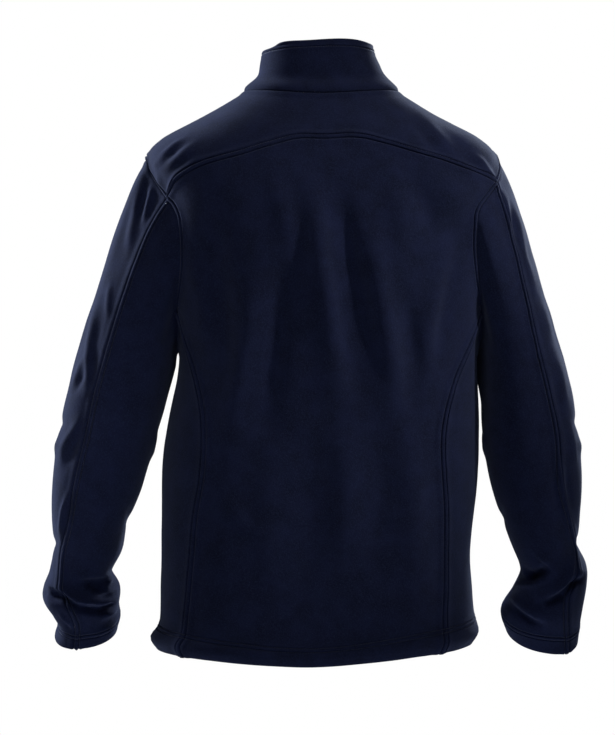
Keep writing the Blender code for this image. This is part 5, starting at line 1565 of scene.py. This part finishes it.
def make_stage():
    """Camera behind the jacket, pale ground, soft lights and a white surround."""
    scene = bpy.context.scene
    stage = scene.jacket_stage
    scene.view_settings.view_transform = "Standard"
    deselect()
    bpy.ops.object.camera_add(location=stage.camera, rotation=(math.pi / 2, 0, math.pi))
    camera = bpy.context.object
    camera.name = "camera"
    camera.data.lens = stage.lens
    camera.data.sensor_width = 36
    scene.camera = camera
    for name, kind, place, aim, size, power, colour in LIGHTS:
        bpy.ops.object.light_add(type=kind, location=place)
        light = bpy.context.object
        light.name = name
        if kind == "SPOT":
            light.data.spot_size = math.radians(size)
            light.data.spot_blend = 1.0
            light.data.shadow_soft_size = LAMP_RADIUS
        else:
            light.data.shape = "DISK"
            light.data.size = size
        light.data.energy = power
        light.data.color = linear(colour)[:3]
        toward = Vector(aim) - Vector(place)
        light.rotation_euler = toward.to_track_quat("-Z", "Y").to_euler()
    bpy.ops.mesh.primitive_circle_add(vertices=96, radius=FLOOR_RADIUS, fill_type="NGON",
                                      location=(0, 0, FLOOR_Z))
    floor = named("floor")
    floor.data.materials.append(material("pale_floor"))
    world = bpy.data.worlds.new("surround")
    world.use_nodes = True
    scene.world = world
    tree = world.node_tree
    tree.nodes.clear()
    seen = add_node(tree, "ShaderNodeBackground", {"Color": linear("#ffffff"), "Strength": 1.0})
    light = add_node(tree, "ShaderNodeBackground", {"Color": linear("#eef2ff"),
                                                    "Strength": stage.surround})
    ray = add_node(tree, "ShaderNodeLightPath")
    both = add_node(tree, "ShaderNodeMixShader", {},
                    {0: ray.outputs["Is Camera Ray"], 1: light.outputs[0], 2: seen.outputs[0]})
    add_node(tree, "ShaderNodeOutputWorld", {}, {"Surface": both.outputs[0]})


# ---------------------------------------------------------------------------------------------
# Operators, panel and start
# ---------------------------------------------------------------------------------------------
class JACKET_OT_back(bpy.types.Operator):
    """Sew the centre back with its turned hem"""
    bl_idname = "jacket.back"
    bl_label = "Back Panel"

    def execute(self, context):
        make_back()
        return {"FINISHED"}


class JACKET_OT_yoke(bpy.types.Operator):
    """Sew the yoke over both shoulders"""
    bl_idname = "jacket.yoke"
    bl_label = "Yoke"

    def execute(self, context):
        make_yoke()
        return {"FINISHED"}


class JACKET_OT_collar(bpy.types.Operator):
    """Sew the stand collar with its turned top edge"""
    bl_idname = "jacket.collar"
    bl_label = "Collar"

    def execute(self, context):
        make_collar()
        return {"FINISHED"}


class JACKET_OT_fronts(bpy.types.Operator):
    """Sew both fronts with their turned hems"""
    bl_idname = "jacket.fronts"
    bl_label = "Fronts"

    def execute(self, context):
        for side in SIDE_WORDS:
            make_front(side)
        return {"FINISHED"}


class JACKET_OT_sides(bpy.types.Operator):
    """Sew the panels under both arms"""
    bl_idname = "jacket.sides"
    bl_label = "Side Panels"

    def execute(self, context):
        for side in SIDE_WORDS:
            make_side(side)
        return {"FINISHED"}


class JACKET_OT_sleeves(bpy.types.Operator):
    """Sew the upper and under piece of both sleeves"""
    bl_idname = "jacket.sleeves"
    bl_label = "Sleeves"

    def execute(self, context):
        for side in SIDE_WORDS:
            make_sleeve(side)
        return {"FINISHED"}


class JACKET_OT_zip_tapes(bpy.types.Operator):
    """Weave both zip tapes"""
    bl_idname = "jacket.zip_tapes"
    bl_label = "Zip Tapes"

    def execute(self, context):
        for side in SIDE_WORDS:
            make_tape(side)
        return {"FINISHED"}


class JACKET_OT_zip_teeth(bpy.types.Operator):
    """Mould the teeth along both tapes"""
    bl_idname = "jacket.zip_teeth"
    bl_label = "Zip Teeth"

    def execute(self, context):
        for side in SIDE_WORDS:
            make_teeth(side)
        return {"FINISHED"}


class JACKET_OT_zip_slider(bpy.types.Operator):
    """Cast the slider with its bridge"""
    bl_idname = "jacket.zip_slider"
    bl_label = "Zip Slider"

    def execute(self, context):
        make_slider()
        return {"FINISHED"}


class JACKET_OT_zip_pull(bpy.types.Operator):
    """Cast the pull tab, which swings on the slider"""
    bl_idname = "jacket.zip_pull"
    bl_label = "Pull Tab"

    def execute(self, context):
        make_pull()
        return {"FINISHED"}


class JACKET_OT_zip_ends(bpy.types.Operator):
    """Set the top stops and the box at the hem"""
    bl_idname = "jacket.zip_ends"
    bl_label = "Zip Ends"

    def execute(self, context):
        make_zip_ends()
        return {"FINISHED"}


class JACKET_OT_stage(bpy.types.Operator):
    """Set the camera, lights, ground and surround"""
    bl_idname = "jacket.stage"
    bl_label = "Stage"

    def execute(self, context):
        make_stage()
        return {"FINISHED"}


class JACKET_PT_sidebar(bpy.types.Panel):
    """Sizes, colours and pieces of the jacket"""
    bl_idname = "JACKET_PT_sidebar"
    bl_label = "Fleece Zip Jacket"
    bl_space_type = "VIEW_3D"
    bl_region_type = "UI"
    bl_category = "Jacket"

    def draw(self, context):
        for title, name, group in GROUPS:
            box = self.layout.box()
            box.label(text=title)
            for value in group.__annotations__:
                box.prop(getattr(context.scene, name), value)
        for operator in OPERATORS:
            self.layout.operator(operator.bl_idname)


GROUPS = (("Cloth", "jacket_cloth", JacketCloth), ("Sewing", "jacket_sewing", JacketSewing),
          ("Zip", "jacket_zip", JacketZip), ("Stage", "jacket_stage", JacketStage))
OPERATORS = (JACKET_OT_back, JACKET_OT_yoke, JACKET_OT_collar, JACKET_OT_fronts,
             JACKET_OT_sides, JACKET_OT_sleeves, JACKET_OT_zip_tapes,
             JACKET_OT_zip_teeth, JACKET_OT_zip_slider, JACKET_OT_zip_pull,
             JACKET_OT_zip_ends, JACKET_OT_stage)


def register():
    for _, name, group in GROUPS:
        bpy.utils.register_class(group)
        setattr(bpy.types.Scene, name, PointerProperty(type=group))
    for one in (*OPERATORS, JACKET_PT_sidebar):
        bpy.utils.register_class(one)


def unregister():
    for one in (JACKET_PT_sidebar, *reversed(OPERATORS)):
        bpy.utils.unregister_class(one)
    for _, name, group in reversed(GROUPS):
        delattr(bpy.types.Scene, name)
        bpy.utils.unregister_class(group)


def main():
    register()
    bpy.ops.jacket.back()
    bpy.ops.jacket.yoke()
    bpy.ops.jacket.collar()
    bpy.ops.jacket.fronts()
    bpy.ops.jacket.sides()
    bpy.ops.jacket.sleeves()
    bpy.ops.jacket.zip_tapes()
    bpy.ops.jacket.zip_teeth()
    bpy.ops.jacket.zip_slider()
    bpy.ops.jacket.zip_pull()
    bpy.ops.jacket.zip_ends()
    bpy.ops.jacket.stage()


if __name__ == "__main__":
    main()
